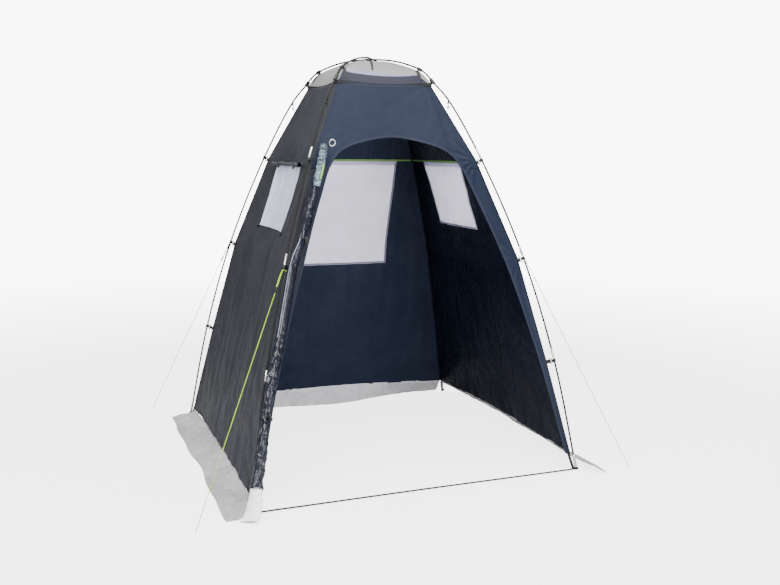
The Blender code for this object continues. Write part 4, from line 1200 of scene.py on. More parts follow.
@dataclass
class RolledDoor:
    """The door rolled up along the front left corner: film at its top, cloth, and a pale hem."""

    shape: TentShape
    stations: tuple = (
        (-0.366, -0.424, 1.592, 0.017), (-0.394, -0.468, 1.500, 0.021), (-0.429, -0.503, 1.400, 0.020),
        (-0.479, -0.546, 1.273, 0.025), (-0.518, -0.585, 1.167, 0.0165), (-0.568, -0.620, 1.062, 0.0235),
        (-0.615, -0.664, 0.890, 0.0245), (-0.654, -0.704, 0.738, 0.0245), (-0.719, -0.773, 0.524, 0.0235),
        (-0.746, -0.799, 0.416, 0.0175), (-0.768, -0.826, 0.300, 0.0255), (-0.789, -0.850, 0.193, 0.0265),
        (-0.8085, -0.8765, 0.118, 0.0300))
    hem_line: tuple = ((-0.8085, -0.8765, 0.118, 0.0300), (-0.819, -0.897, 0.078, 0.0325),
                       (-0.837, -0.931, 0.034, 0.0355), (-0.8635, -0.966, 0.0085, 0.0375))
    film_end: int = 2
    hem_start: int = 12
    tie_stations: tuple = (4, 9)
    step: float = 0.0052
    # The angle round the roll at which the strip of painted highlight lies.
    highlight_turn: float = 48.0

    def line(self, first: int, last: int) -> tuple[np.ndarray, np.ndarray]:
        """Give the centre line and the radii between two stations."""
        whole = smooth_path(self.stations, self.step)
        marks = [int(np.argmin(np.linalg.norm(whole[:, :3] - np.array(s[:3]), axis=1))) for s in self.stations]
        part = whole[marks[first]:marks[last] + 1]
        return part[:, :3], part[:, 3]

    def build(self, shop: "Shop") -> None:
        """Build the three stretches, the ties and what shows on them."""
        path, radii = self.line(0, self.film_end)
        Roll("door_rolled_film", path, radii, 8, Finish.DOOR_FILM, ("door_roll_film",), (0.60, 0.21),
             ("front_fascia_cloth",), 61, 0.26, 0.050, core=0.30).build(shop)
        path, radii = self.line(self.film_end, self.hem_start)
        lengths = np.concatenate([[0.0], np.cumsum(np.linalg.norm(np.diff(path, axis=0), axis=1))])
        heights = path[:, 2]
        calm = soft_step(heights, 0.66, 0.80) * (1 - soft_step(heights, 1.00, 1.10))
        depth = 0.16 - 0.125 * calm
        ties = [float(np.interp(-self.stations[i][2], -heights, lengths)) for i in self.tie_stations]
        Roll("door_rolled_cloth", path, radii, 11, Finish.DOOR_NAVY, ("door_roll",), (1.45, 1.26),
             ("front_left_strip_cloth",), 65, depth, 0.15, ties=tuple(ties)).build(shop)
        whole = smooth_path(self.hem_line, self.step * 0.8)
        share = np.linspace(0.0, 1.0, len(whole))
        Roll("door_rolled_hem", whole[:, :3], whole[:, 3], 11, Finish.HEM, ("door_roll_hem",), (1.57, 0.17),
             ("door_rolled_cloth",), 69, 0.10, 0.10, up=(-0.71, -0.70, 0.0), squash=1 - 0.80 * share ** 0.8,
             spread=1 + 0.32 * share).build(shop)
        self.build_ties(shop)
        self.build_pull(shop)
        self.build_hem_seam(shop)
        self.build_painted_highlight(shop)

    def build_ties(self, shop: "Shop") -> None:
        """Build the cords round the roll with their toggles, and the tabs they are sewn to."""
        for label, index in zip(("upper", "lower"), self.tie_stations):
            before, here, after = (np.array(self.stations[i][:3]) for i in (index - 1, index, index + 1))
            radius = self.stations[index][3]
            along = (before - after) / np.linalg.norm(before - after)
            front = np.array((0.35, -1.0, 0.0))
            front -= along * (front @ along)
            front /= np.linalg.norm(front)
            sideways = np.cross(along, front)
            turns = np.linspace(0.0, 2.2 * TAU, 90)[:, None]
            lift = (turns / (2.2 * TAU) - 0.5) * 0.0062
            coil = here + (radius + 0.0012) * (np.cos(turns) * front + np.sin(turns) * sideways) + lift * along
            spot = here + front * (radius + 0.008) + sideways * (radius * 0.50) - along * 0.004
            strip = -(float(self.shape.arch_half(here[2])) + float(self.shape.half(here[2]))) / 2
            sewn = np.array((strip, -(float(self.shape.half(here[2])) - 0.003), here[2] + 0.004))
            tab = flat_bar("tab", np.linspace(sewn, here - front * radius * 0.3, 8), 0.016, 0.0012, tuple(along))
            cord = round_bar("cord", coil, 0.0016, 8, tuple(along))
            knot = toggle(spot, along * 0.9 - sideways * 0.45, 0.031, 0.0080)
            shop.add(f"door_{label}_tie", joined("tie", [tab, cord, knot]), Finish.CORD,
                     [f"door_tie_{label}"])

    def build_pull(self, shop: "Shop") -> None:
        """Build the ring at the roll's top and the lime piping that shows in the film."""
        top = np.array(self.stations[0][:3])
        centre = top + np.array((0.036, -0.018, 0.011))
        first, second = np.array((0.75, -0.35, 0.55)), np.array((-0.45, 0.25, 0.85))
        first, second = first / np.linalg.norm(first), second / np.linalg.norm(second)
        ring = round_bar("ring", ring_path(centre, first, second, 0.0145), 0.0020, 10, (0.3, -0.9, 0.2), closed=True)
        shop.add("door_pull_ring", ring, Finish.METAL)
        stem = smooth_path([top + (0.0, -0.012, -0.012), top + (0.012, -0.018, -0.002), centre - first * 0.0145], 0.004)
        shop.add("door_pull_cord", round_bar("pull", stem, 0.0017, 8), Finish.CORD)
        path, radii = self.line(0, self.film_end)
        rows = np.arange(len(path) // 2 - 2, len(path) // 2 + 14)
        spots = path[rows] + np.array((0.30, -0.95, 0.0)) * (radii[rows] + 0.0015)[:, None]
        shop.add("door_seam_piping", flat_bar("piping", spots, 0.010, 0.0022, (0.3, -0.95, 0.0)), Finish.PIPING)

    def build_painted_highlight(self, shop: "Shop") -> None:
        """Build a pale strip along the roll that paints the crisp highlight in the roll's fold, in the window binding's
        finish.
        """
        path, radii = self.line(4, 7)
        first, second = path_frames(path, (0.0, -1.0, 0.0))
        turn = math.radians(self.highlight_turn)
        out = first * math.cos(turn) + second * math.sin(turn)
        mesh = flat_bar("door_bound_edge", path + out * (radii + 0.0012)[:, None], 0.0040, 0.0012, tuple(out[0]))
        shop.add("door_bound_edge", mesh, Finish.BINDING)

    def build_hem_seam(self, shop: "Shop") -> None:
        """Build the stitched tape where the pale hem is sewn to the rolled cloth."""
        path, radii = self.line(self.hem_start - 1, self.hem_start)
        here, radius = path[-1], float(radii[-1])
        along = (path[-4] - here) / np.linalg.norm(path[-4] - here)
        front = np.array((0.0, -1.0, 0.0)) - along * (-along[1])
        front /= np.linalg.norm(front)
        loop = ring_path(here, front, np.cross(along, front), radius * 1.02, 60)
        shop.add("door_hem_seam", round_bar("seam", loop, 0.0017, 8, tuple(along), closed=True), Finish.TRIM)


@dataclass
class DoorFront:
    """The front: a fascia over the arched opening and a strip on each side of it."""

    shape: TentShape
    creases: Creases
    thickness: float = 0.0010
    shoulder: float = 1.481
    inset: float = 0.0012

    def depth(self, x: np.ndarray, height: np.ndarray) -> np.ndarray:
        """Give the cloth's distance from the tent's middle."""
        half = self.shape.half(height)
        across = x / (half - self.inset)
        inwards = self.creases.inwards(Side.FRONT, across, x, height)
        return half - self.shape.wall_sag(across, height) - inwards

    def build(self, shop: Shop) -> None:
        """Build the fascia, the strips, the bound edge and the zip."""
        self.build_fascia(shop)
        self.build_strip(shop, -1, Finish.CHARCOAL)
        self.build_strip(shop, 1, Finish.NAVY)
        self.build_bound_edge(shop)

    def arch_path(self, step: float, low: float) -> np.ndarray:
        """Give the opening's edge from its left foot round to its right one, above a height."""
        right = [(x, z) for x, z in self.shape.arch_stations if z > low]
        right.insert(0, (float(self.shape.arch_half(low)), low))
        left = [(-x, z) for x, z in right[:-1]]
        return smooth_path([(x, 0.0, z) for x, z in left + right[::-1]], step)[:, (0, 2)]

    def build_fascia(self, shop: Shop) -> None:
        """Build the panel between the arch and the eave."""
        columns, rows = 200, 64
        arch = resample(self.arch_path(0.004, self.shoulder), columns + 1)
        corner_z = np.linspace(self.shoulder, self.shape.top, 60)
        corner = np.stack([-(self.shape.half(corner_z) - self.inset), corner_z], axis=-1)
        top_x = np.linspace(corner[-1, 0], -corner[-1, 0], 60)
        top = np.stack([top_x, self.shape.eave(top_x / corner[-1, 0])], axis=-1)
        outer = resample(np.concatenate([corner[:-1], top[:-1], (corner * (-1, 1))[::-1]]), columns + 1)

        def spots(u: np.ndarray, v: np.ndarray) -> tuple:
            index = np.rint(u * columns).astype(int)
            point = arch[index] + (outer[index] - arch[index]) * v[:, None]
            return point[:, 0], point[:, 1]

        def place(u: np.ndarray, v: np.ndarray) -> np.ndarray:
            x, z = spots(u, v)
            return to_side(Side.FRONT, x, self.depth(x, z), z)

        mesh = shaped_sheet("front_fascia_cloth", columns, rows, place,
                            lambda u, v: np.stack(spots(u, v), axis=-1))
        # After the flip the lighter navy copy, painted light, lies on the fascia's outer face and the plain navy on its
        # inner face.
        mesh.flip_normals()
        cloth = shop.add("front_fascia_cloth", mesh, Finish.NAVY_INNER, ["front_wall"], self.thickness,
                         inner=Finish.NAVY)

    def build_strip(self, shop: Shop, sign: int, finish: Finish) -> None:
        """Build the strip between the opening and a corner."""
        bottom = self.shape.bottom

        def spots(u: np.ndarray, v: np.ndarray) -> tuple:
            height = bottom + (self.shoulder - bottom) * v
            inner, outer = self.shape.arch_half(height), self.shape.half(height) - self.inset
            share = u if sign > 0 else 1 - u
            return sign * (inner + (outer - inner) * share), height

        def place(u: np.ndarray, v: np.ndarray) -> np.ndarray:
            x, z = spots(u, v)
            return to_side(Side.FRONT, x, self.depth(x, z), z)

        label = "left" if sign < 0 else "right"
        mesh = shaped_sheet(f"front_{label}_strip_cloth", 14, 230, place,
                            lambda u, v: np.stack(spots(u, v), axis=-1))
        cloth = shop.add(f"front_{label}_strip_cloth", mesh, finish, ["front_wall"], self.thickness,
                         inner=Finish.DARK_INNER)

    def build_bound_edge(self, shop: Shop) -> None:
        """Build the tape that binds the opening's edge, and the zip's coil beside it."""
        for name, offset, width, level, finish in (("opening_edge_tape", 0.0, 0.012, 0.0008, Finish.EDGE_TAPE),
                                                   ("opening_zip", 0.004, 0.0045, -0.0026, Finish.PLASTIC)):
            path = resample(self.arch_path(0.006, self.shape.bottom + 0.004), 320)
            step = np.gradient(path, axis=0)
            out = np.stack([-step[:, 1], step[:, 0]], axis=-1)
            out /= np.linalg.norm(out, axis=1, keepdims=True)
            line = path + out * (offset + width / 2 - 0.002)
            x, z = line[:, 0], line[:, 1]
            points = to_side(Side.FRONT, x, self.depth(x, z) + level, z)
            mesh = flat_bar(name, points, width, 0.0016, (0.0, -1.0, 0.2))
            shop.add(name, mesh, finish)


def resample(path: np.ndarray, count: int) -> np.ndarray:
    """Give points at even distances along a path."""
    gaps = np.linalg.norm(np.diff(path, axis=0), axis=1)
    along = np.concatenate([[0.0], np.cumsum(gaps)])
    even = np.linspace(0.0, along[-1], count)
    return np.stack([np.interp(even, along, path[:, axis]) for axis in range(path.shape[1])], axis=-1)


@dataclass
class RoofCap:
    """The pale cap over the eaves, with its front band, its trim and its hanging strap."""

    shape: TentShape
    cells: int = 96
    thickness: float = 0.0008
    band_left: float = 0.955
    band_right: tuple = (0.93, 0.84)
    strap_end: tuple = (-0.165, -0.75)
    pole_gap: float = 0.0090
    corner_height: float = 1.906
    trim_height: float = 0.015
    shoulder_height: float = 1.976
    shoulder_size: float = 0.79

    def hip(self) -> tuple[np.ndarray, np.ndarray]:
        """Give the line just inside a pole that a hip follows, as half widths and heights from the top down."""
        line = self.shape.pole_line(0.004)
        diagonal = line * (math.sqrt(2.0), 1.0)
        step = np.gradient(diagonal, axis=0)
        step /= np.linalg.norm(step, axis=1, keepdims=True)
        inside = diagonal + self.pole_gap * np.stack([-step[:, 1], step[:, 0]], axis=-1)
        return inside[::-1, 0] / math.sqrt(2.0), inside[::-1, 1]

    def surface(self, x: np.ndarray, y: np.ndarray) -> np.ndarray:
        """Give the cap's points from places on the eave's square, each from -1 to 1."""
        eave = self.shape.fabric_halves[-1]
        halves, heights = self.hip()
        corner = float(np.interp(-self.corner_height, -heights, halves))
        size = np.maximum(np.abs(x), np.abs(y))
        across = np.where(size > 0, np.minimum(np.abs(x), np.abs(y)) / np.maximum(size, 1e-9), 0.0)
        height = self.shape.cap_height(size, across)
        raised = np.interp(size * corner, halves, heights) - self.shape.cap_height(size, np.ones_like(size))
        height = height + soft_step(size, 0.0, 0.30) * raised * across ** 2
        slack = 0.004 * size * (1 - across ** 4) * np.sin(np.pi * np.clip(size, 0, 1))
        wave = 0.0018 * ripples(77, x, y, (0.7, 0.7)) * np.sin(np.pi * np.clip(size, 0, 1)) * (1 - across ** 6)
        wide = eave * (1 + (corner / eave - 1) * across ** 4 * size ** 2)
        return np.stack([wide * x, wide * y, height - slack + wave], axis=-1)

    def build(self, shop: Shop) -> None:
        """Build the cap and what is sewn to it."""
        eave = self.shape.fabric_halves[-1]
        mesh = shaped_sheet("roof_cap_cloth", self.cells, self.cells,
                            lambda u, v: self.surface(2 * u - 1, 2 * v - 1),
                            lambda u, v: np.stack([eave * (2 * u - 1), eave * (2 * v - 1)], axis=-1))
        cap = shop.add("roof_cap_cloth", mesh, Finish.ROOF, ["roof_cap"], self.thickness)
        self.build_band(shop, "roof_front_band", Finish.ROOF_BAND, (1.0, 1.0), (0.86, 0.88), 0.0012)
        self.build_band(shop, "roof_vent_strip", Finish.LAVENDER, (0.86, 0.88), (0.76, 0.87), 0.0010)
        self.build_trim(shop)
        self.build_straps(shop)
        self.build_hooks(shop)

    def build_band(self, shop: Shop, name: str, finish: Finish, low: tuple, high: tuple, proud: float) -> None:
        """Build a band on the front gore between two lines, each as its ring sizes at the left and right."""
        def spot(u: np.ndarray, v: np.ndarray) -> tuple:
            start = low[0] + (low[1] - low[0]) * u
            end = high[0] + (high[1] - high[0]) * u
            size = start + (end - start) * v
            right = np.interp(size, (0.86, 1.0), self.band_right[::-1])
            return (-self.band_left + (right + self.band_left) * u) * size, -size

        def place(u: np.ndarray, v: np.ndarray) -> np.ndarray:
            x, y = spot(u, v)
            points = self.surface(x, y)
            return points + np.array((0.0, -0.83, 0.56)) * proud

        mesh = shaped_sheet(name, 70, 8, place, lambda u, v: np.stack([u * 0.49, v * 0.05], axis=-1))
        shop.add(name, mesh, finish, thickness=0.0006, outwards=1.0)

    def build_trim(self, shop: Shop) -> None:
        """Build the dark trim along the four eaves."""
        bars = []
        u = np.linspace(-1.0, 1.0, 60)
        edge = 0 * u + 1.0
        for side, x, y in ((Side.FRONT, u, -edge), (Side.RIGHT, edge, u), (Side.BACK, -u, edge), (Side.LEFT, -edge, -u)):
            facing = to_side(side, np.zeros(1), np.ones(1), np.zeros(1))[0]
            path = self.surface(x, y) + facing * 0.0014 - np.array((0.0, 0.0, self.trim_height * 0.36))
            bars.append(flat_bar("eave_trim", path, self.trim_height, 0.0018, tuple(facing)))
        shop.add("eave_trim", joined("eave_trim", bars), Finish.TRIM)

    def strap_on(self, start: tuple, end: tuple, wide: float, narrow: float) -> bpy.types.Mesh:
        """Make a tapered strap that lies on the cap between two places on the eave's square."""
        share = np.linspace(0.0, 1.0, 20)
        spots = np.array(start) + (np.array(end) - start) * share[:, None]
        path = self.surface(spots[:, 0], spots[:, 1])
        aside = self.surface(spots[:, 0] + 0.01, spots[:, 1]) - path
        ahead = np.gradient(path, axis=0)
        up = np.cross(aside, self.surface(spots[:, 0], spots[:, 1] + 0.01) - path)
        up /= np.linalg.norm(up, axis=1, keepdims=True)
        side = np.cross(ahead, up)
        side /= np.linalg.norm(side, axis=1, keepdims=True)
        path = path + up * 0.0022

        def section(angle: np.ndarray, place: np.ndarray) -> tuple:
            size = (wide + (narrow - wide) * place) / 2
            return 0.0009 * np.cos(angle), size * np.sign(np.sin(angle)) * np.abs(np.sin(angle)) ** 0.35

        return swept("strap", path, section, 12, tuple(up[0]))

    def build_straps(self, shop: Shop) -> None:
        """Build the tapered straps from the crossing and the short straps at the shoulders."""
        x, y = self.strap_end
        straps = [self.strap_on((0.0, sign * 0.12), (sign * -x, sign * -y), 0.021, 0.009) for sign in (-1, 1)]
        for corner in Corner:
            sx, sy = corner.value
            hip, low = self.shoulder_size, self.shoulder_size + 0.17
            straps.append(self.strap_on((sx * hip * 0.97, sy * hip), (sx * low * 0.84, sy * low), 0.017, 0.010))
            straps.append(self.strap_on((sx * hip, sy * hip * 0.97), (sx * low, sy * low * 0.84), 0.017, 0.010))
        shop.add("roof_straps", joined("roof_straps", straps), Finish.WEBBING)

    def build_hooks(self, shop: Shop) -> None:
        """Build the moulded collars that hold the straps at the shoulders to the poles."""
        for corner in Corner:
            sx, sy = corner.value
            heights = self.shoulder_height + np.array([-0.0065, -0.0060, -0.0035, 0.0035, 0.0060, 0.0065])
            radii = np.array([0.0052, 0.0074, 0.0084, 0.0084, 0.0074, 0.0052])
            halves = np.array([self.shape.pole_half(z) for z in heights])
            path = np.stack([sx * halves, sy * halves, heights], axis=-1)
            collar = round_bar("collar", path, radii, 16, (0.0, 1.0, 0.0))
            shop.add(f"shoulder_collar_{corner.label}", collar, Finish.PLASTIC, [f"shoulder_hook_{corner.label}"])


@dataclass
class PoleFrame:
    """The two poles with their metal sleeves and feet."""

    shape: TentShape
    sleeve_length: float = 0.048
    sleeve_radius: float = 0.0058
    foot_height: float = 0.078

    def leg(self, corner: Corner, low: float, step: float = 0.015) -> np.ndarray:
        """Give one leg's points from a height to the crossing."""
        line = self.shape.pole_line(step)
        line = line[line[:, 1] > low + 0.004]
        start = np.array([[self.shape.pole_half(low), low]])
        line = np.concatenate([start, line])
        sx, sy = corner.value
        over = 1 if corner in (Corner.FRONT_LEFT, Corner.BACK_RIGHT) else -1
        lift = over * self.shape.crossing_lift * np.clip(1 - line[:, 0] / 0.14, 0, 1)
        return np.stack([sx * line[:, 0], sy * line[:, 0], line[:, 1] + lift], axis=-1)

    def build(self, shop: Shop) -> None:
        """Build both poles, the sleeves and the feet."""
        for first, second in ((Corner.FRONT_LEFT, Corner.BACK_RIGHT), (Corner.FRONT_RIGHT, Corner.BACK_LEFT)):
            name = f"pole_{first.label}_to_{second.label}"
            path = np.concatenate([self.leg(first, 0.07), self.leg(second, 0.07)[::-1][1:]])
            mesh = round_bar(f"{name}_bar", path, self.shape.pole_radius, 14, (0.0, 1.0, 0.0))
            shop.add(f"{name}_bar", mesh, Finish.POLE, [name])
        sleeves = []
        for corner in Corner:
            for height in self.shape.clip_heights:
                sleeves.append(self.sleeve(corner, height + 0.008, height + 0.008 + self.sleeve_length))
        shop.add("pole_sleeves", joined("pole_sleeves", sleeves), Finish.METAL)
        for corner in Corner:
            self.build_foot(shop, corner)

    def sleeve(self, corner: Corner, low: float, high: float) -> bpy.types.Mesh:
        """Build one metal sleeve with rolled ends."""
        sx, sy = corner.value
        heights = np.array([low, low + 0.0008, low + 0.002, high - 0.002, high - 0.0008, high])
        radii = np.array([self.shape.pole_radius, self.sleeve_radius - 0.0003, self.sleeve_radius,
                          self.sleeve_radius, self.sleeve_radius - 0.0003, self.shape.pole_radius])
        halves = np.array([self.shape.pole_half(z) for z in heights])
        path = np.stack([sx * halves, sy * halves, heights], axis=-1)
        return round_bar("sleeve", path, radii, 16, (0.0, 1.0, 0.0))

    def build_foot(self, shop: Shop, corner: Corner) -> None:
        """Build a foot: a metal tip with a rounded base and a collar."""
        sx, sy = corner.value
        heights = np.array([0.0, 0.0006, 0.002, 0.060, 0.062, 0.0635, 0.0765, 0.078])
        radii = np.array([0.0048, 0.0058, 0.0062, 0.0062, 0.0065, 0.0065, 0.0065, 0.0052])
        halves = np.interp(heights, (0.0, self.foot_height), (self.shape.base_half, self.shape.pole_half(self.foot_height)))
        path = np.stack([sx * halves, sy * halves, heights], axis=-1)
        mesh = round_bar(f"foot_{corner.label}", path, radii, 18, (0.0, 1.0, 0.0))
        for vertex in mesh.vertices:
            vertex.co.z = max(vertex.co.z, 0.0)
        shop.add(f"foot_{corner.label}", mesh, Finish.METAL, [f"pole_foot_{corner.label}"])


@dataclass
class CornerSeams:
    """The piped seams along the four corners of the tent."""

    shape: TentShape
    radius: float = 0.0021

    def build(self, shop: Shop) -> None:
        """Build the four seams."""
        heights = np.linspace(self.shape.bottom - 0.002, self.shape.top, 120)
        halves = self.shape.half(heights)
        bars = [round_bar("seam", np.stack([c.value[0] * halves, c.value[1] * halves, heights], axis=-1),
                          self.radius, 8, (0.0, 1.0, 0.0)) for c in Corner]
        shop.add("corner_seams", joined("corner_seams", bars), Finish.SEAM)


@dataclass
class TopTies:
    """The short cords with two toggles each, from the poles to the walls' upper corners."""

    shape: TentShape
    pole_height: float = 1.829
    cloth_height: float = 1.766

    def build(self, shop: Shop) -> None:
        """Build the four ties."""
        cords, toggles = [], []
        for corner in Corner:
            sx, sy = corner.value
            way = np.array((sx, sy, 0.0)) / math.sqrt(2.0)
            pole_half, cloth_half = self.shape.pole_half(self.pole_height), float(self.shape.half(self.cloth_height))
            top = np.array((sx * pole_half, sy * pole_half, self.pole_height))
            low = np.array((sx * cloth_half, sy * cloth_half, self.cloth_height)) + way * 0.002
            knee = (top + low) / 2 + way * 0.006
            path = smooth_path([top + way * 0.005, knee + (0, 0, 0.012), knee - (0, 0, 0.010), low], 0.003)
            cords.append(round_bar("cord", path, 0.0014, 8, (0.0, 1.0, 0.0)))
            across = np.array((-sy, sx, 0.0)) / math.sqrt(2.0)
            cords.append(round_bar("loop", ring_path(top, way, across, self.shape.pole_radius + 0.0012),
                                   0.0014, 8, closed=True))
            toggles += [toggle(knee + (0, 0, lift), (0.3 * sx, 0.2, 1.0), 0.013, 0.0050) for lift in (0.012, -0.009)]
        shop.add("top_tie_cords", joined("cords", cords), Finish.CORD)
        shop.add("top_tie_toggles", joined("toggles", toggles), Finish.PLASTIC)


@dataclass
class Clips:
    """The moulded hooks on the poles with their webbing tabs to the tent's corners."""

    shape: TentShape
    height: float = 0.015
    wall: float = 0.0024
    tab_width: float = 0.020

    def build(self, shop: Shop) -> None:
        """Build three clips on each leg."""
        for corner in Corner:
            for level, height in zip(("low", "middle", "top"), self.shape.clip_heights):
                self.build_clip(shop, corner, level, height)

    def build_clip(self, shop: Shop, corner: Corner, level: str, height: float) -> None:
        """Build one clip: a hook round the pole, a slot bar and a folded tab."""
        sx, sy = corner.value
        half, slope = self.shape.pole_half(height), self.shape.pole_slope(height)
        out = Vector((sx, sy, 0.0)).normalized()
        along = (out * (slope * math.sqrt(2.0)) + Vector((0.0, 0.0, 1.0))).normalized()
        place = turned_place((sx * half, sy * half, height), out, along)
        reach = (half - float(self.shape.half(height))) * math.sqrt(2.0) * math.cos(math.atan(slope * math.sqrt(2.0)))
        inner = self.shape.pole_radius + 0.0008
        angle = np.linspace(-0.78 * math.pi, 0.90 * math.pi, 30)
        spine = inner + self.wall / 2
        lip = np.concatenate([[[spine * 1.75 * math.cos(angle[0] - 0.25), spine * 1.75 * math.sin(angle[0] - 0.25)]],
                              np.stack([spine * np.cos(angle), spine * np.sin(angle)], axis=-1)])
        path = np.concatenate([lip, np.zeros((len(lip), 1))], axis=1)
        hook = flat_bar("hook", path, self.height, self.wall, (0.0, 1.0, 0.0))
        hook_tall = joined("hook", [hook])
        block = rounded_box("block", (0.007, 0.0050, self.height),
                            Matrix.Translation((-spine - 0.0032, 0.0, 0.0)), 0.0012)
        bar = self.tab_width / 2 + 0.003
        x = -spine - 0.0075
        frame_path = np.array([(x, 0, -bar), (x, 0, bar), (x - 0.006, 0, bar), (x - 0.006, 0, -bar), (x, 0, -bar)])
        slot = round_bar("slot", resample(frame_path, 41), 0.0017, 8, (0.0, 1.0, 0.0), closed=True)
        solid = joined("clip", [hook_tall, block, slot])
        solid.transform(place)
        shop.add(f"clip_{corner.label}_{level}_hook", solid, Finish.PLASTIC, [f"clip_{corner.label}_{level}"])
        tab_path = np.array([(x - 0.004, 0.0018, 0), (x - 0.0075, 0.0, 0), (-reach - 0.004, 0.0, 0)])
        tab = flat_bar("tab", resample(tab_path, 14), self.tab_width, 0.0022, (0.0, 1.0, 0.0))
        tab.transform(place)
        shop.add(f"clip_{corner.label}_{level}_tab", tab, Finish.WEBBING)


@dataclass
class Skirts:
    """The pale mud flaps along the ground."""

    shape: TentShape
    reach: float = 0.945
    front_end: float = -0.918
    bulge: float = 0.050
    back_end: float = 0.775
    band: float = 0.012
    thickness: float = 0.0006

    def build(self, shop: Shop) -> None:
        """Build the three skirts."""
        for side in (Side.LEFT, Side.RIGHT):
            self.build_side(shop, side)
        self.build_back(shop)

    def seam(self, across: np.ndarray, drop: float = 0.0) -> tuple[np.ndarray, np.ndarray, np.ndarray]:
        """Give the seam under a wall's hem, as sideways, depth and height."""
        sideways = across * 0.790
        height = self.shape.hem(sideways / float(self.shape.half(self.shape.bottom))) - drop
        half = self.shape.half(height)
        return sideways, half - self.shape.wall_sag(sideways / half, height) - 0.0006, height

    def build_side(self, shop: Shop, side: Side) -> None:
        """Build a side's skirt, which lies out over the ground."""
        sign = -1 if side is Side.LEFT else 1

        def place(u: np.ndarray, v: np.ndarray) -> np.ndarray:
            sideways, depth, height = self.seam(2 * u - 1, LEFT_HEM_DROP if side is Side.LEFT else 0.0)
            ripple = (0.008 * np.sin(u * 11.0) + 0.005 * np.sin(u * 23.0 + 1.0)) * (1 - soft_step(u, 0.82, 1.0))
            end_x = self.reach + ripple
            end_y = self.front_end + (self.back_end - self.front_end) * u
            share = np.clip((v - 0.06) / 0.94, 0, 1)
            x = depth + (end_x - depth) * share
            y = sideways + (end_y - sideways) * share - self.bulge * np.sin(np.pi * share ** 0.8) * np.exp(-u / 0.05)
            fall = share
            top = height - self.band * np.clip(v / 0.06, 0, 1)
            z = top * (1 - fall) + 0.0004
            wave = ripples(31 + sign, y, x * 2, (0.16, 0.3)) * 0.0045 + ripples(37, y, x, (0.05, 0.09)) * 0.0012
            lift = np.sin(np.pi * np.clip(share, 0, 1)) ** 2 * wave
            lift = lift + 0.0035 * np.clip(ripples(41, y, x, (0.2, 9.0)), 0, 1) * share ** 3
            return np.stack([sign * x, y, np.maximum(z + lift, 0.0004)], axis=-1)

        label = side.name.lower()
        mesh = shaped_sheet(f"{label}_mud_flap", 220, 30, place, lambda u, v: np.stack([u * 1.6, v * 0.18], axis=-1))
        if side is Side.LEFT:
            mesh.flip_normals()
        cloth = shop.add(f"{label}_mud_flap", mesh, Finish.SKIRT, [f"{label}_skirt"], self.thickness, outwards=0.0)

    def build_back(self, shop: Shop) -> None:
        """Build the back skirt, which hangs nearly straight down."""
        def place(u: np.ndarray, v: np.ndarray) -> np.ndarray:
            across = 1 - 2 * u
            sideways, depth, height = self.seam(across)
            tuck = 0.055 * np.exp(-((across - 0.05) / 0.35) ** 2)
            spread = 0.070 / (1 + np.exp(-(across - 0.45) * 10.0))
            end = 0.796 - tuck + spread
            wave = 0.004 * ripples(51, across, v * 0.3, (0.12, 0.4)) * np.sin(np.pi * v * 0.6)
            y = depth + (end - depth) * np.clip((v - 0.1) / 0.9, 0, 1) + wave
            return np.stack([sideways, y, height * (1 - v) + 0.0004], axis=-1)

        mesh = shaped_sheet("back_mud_flap", 200, 20, place, lambda u, v: np.stack([u * 1.6, v * 0.1], axis=-1))
        # The back skirt is the same pale cloth as the side skirts but takes the far lighter hem finish: painted light
        # against the shade under the tent.
        cloth = shop.add("back_mud_flap", mesh, Finish.HEM, ["back_skirt"], self.thickness, outwards=0.0)


@dataclass
class Threshold:
    """The webbing on the ground between the front feet."""

    shape: TentShape
    width: float = 0.012
    thickness: float = 0.0018
    lift: float = 0.0060

    def build(self, shop: Shop) -> None:
        """Build the webbing, which lies half on its edge."""
        foot = self.shape.base_half
        spots = [(-foot + 0.006, -foot - 0.006), (-foot + 0.012, -foot - 0.020), (-foot + 0.030, -foot - 0.036),
                 (-foot + 0.12, -foot - 0.036), (0.0, -foot - 0.016), (foot - 0.10, -foot - 0.004),
                 (foot - 0.010, -foot - 0.001)]
        path = smooth_path([(x, y, self.lift) for x, y in spots], 0.02)
        mesh = flat_bar("threshold_webbing", path, self.width, self.thickness, (0.0, -0.62, 0.78))
        shop.add("threshold_webbing", mesh, Finish.WEBBING, ["threshold_strap"])


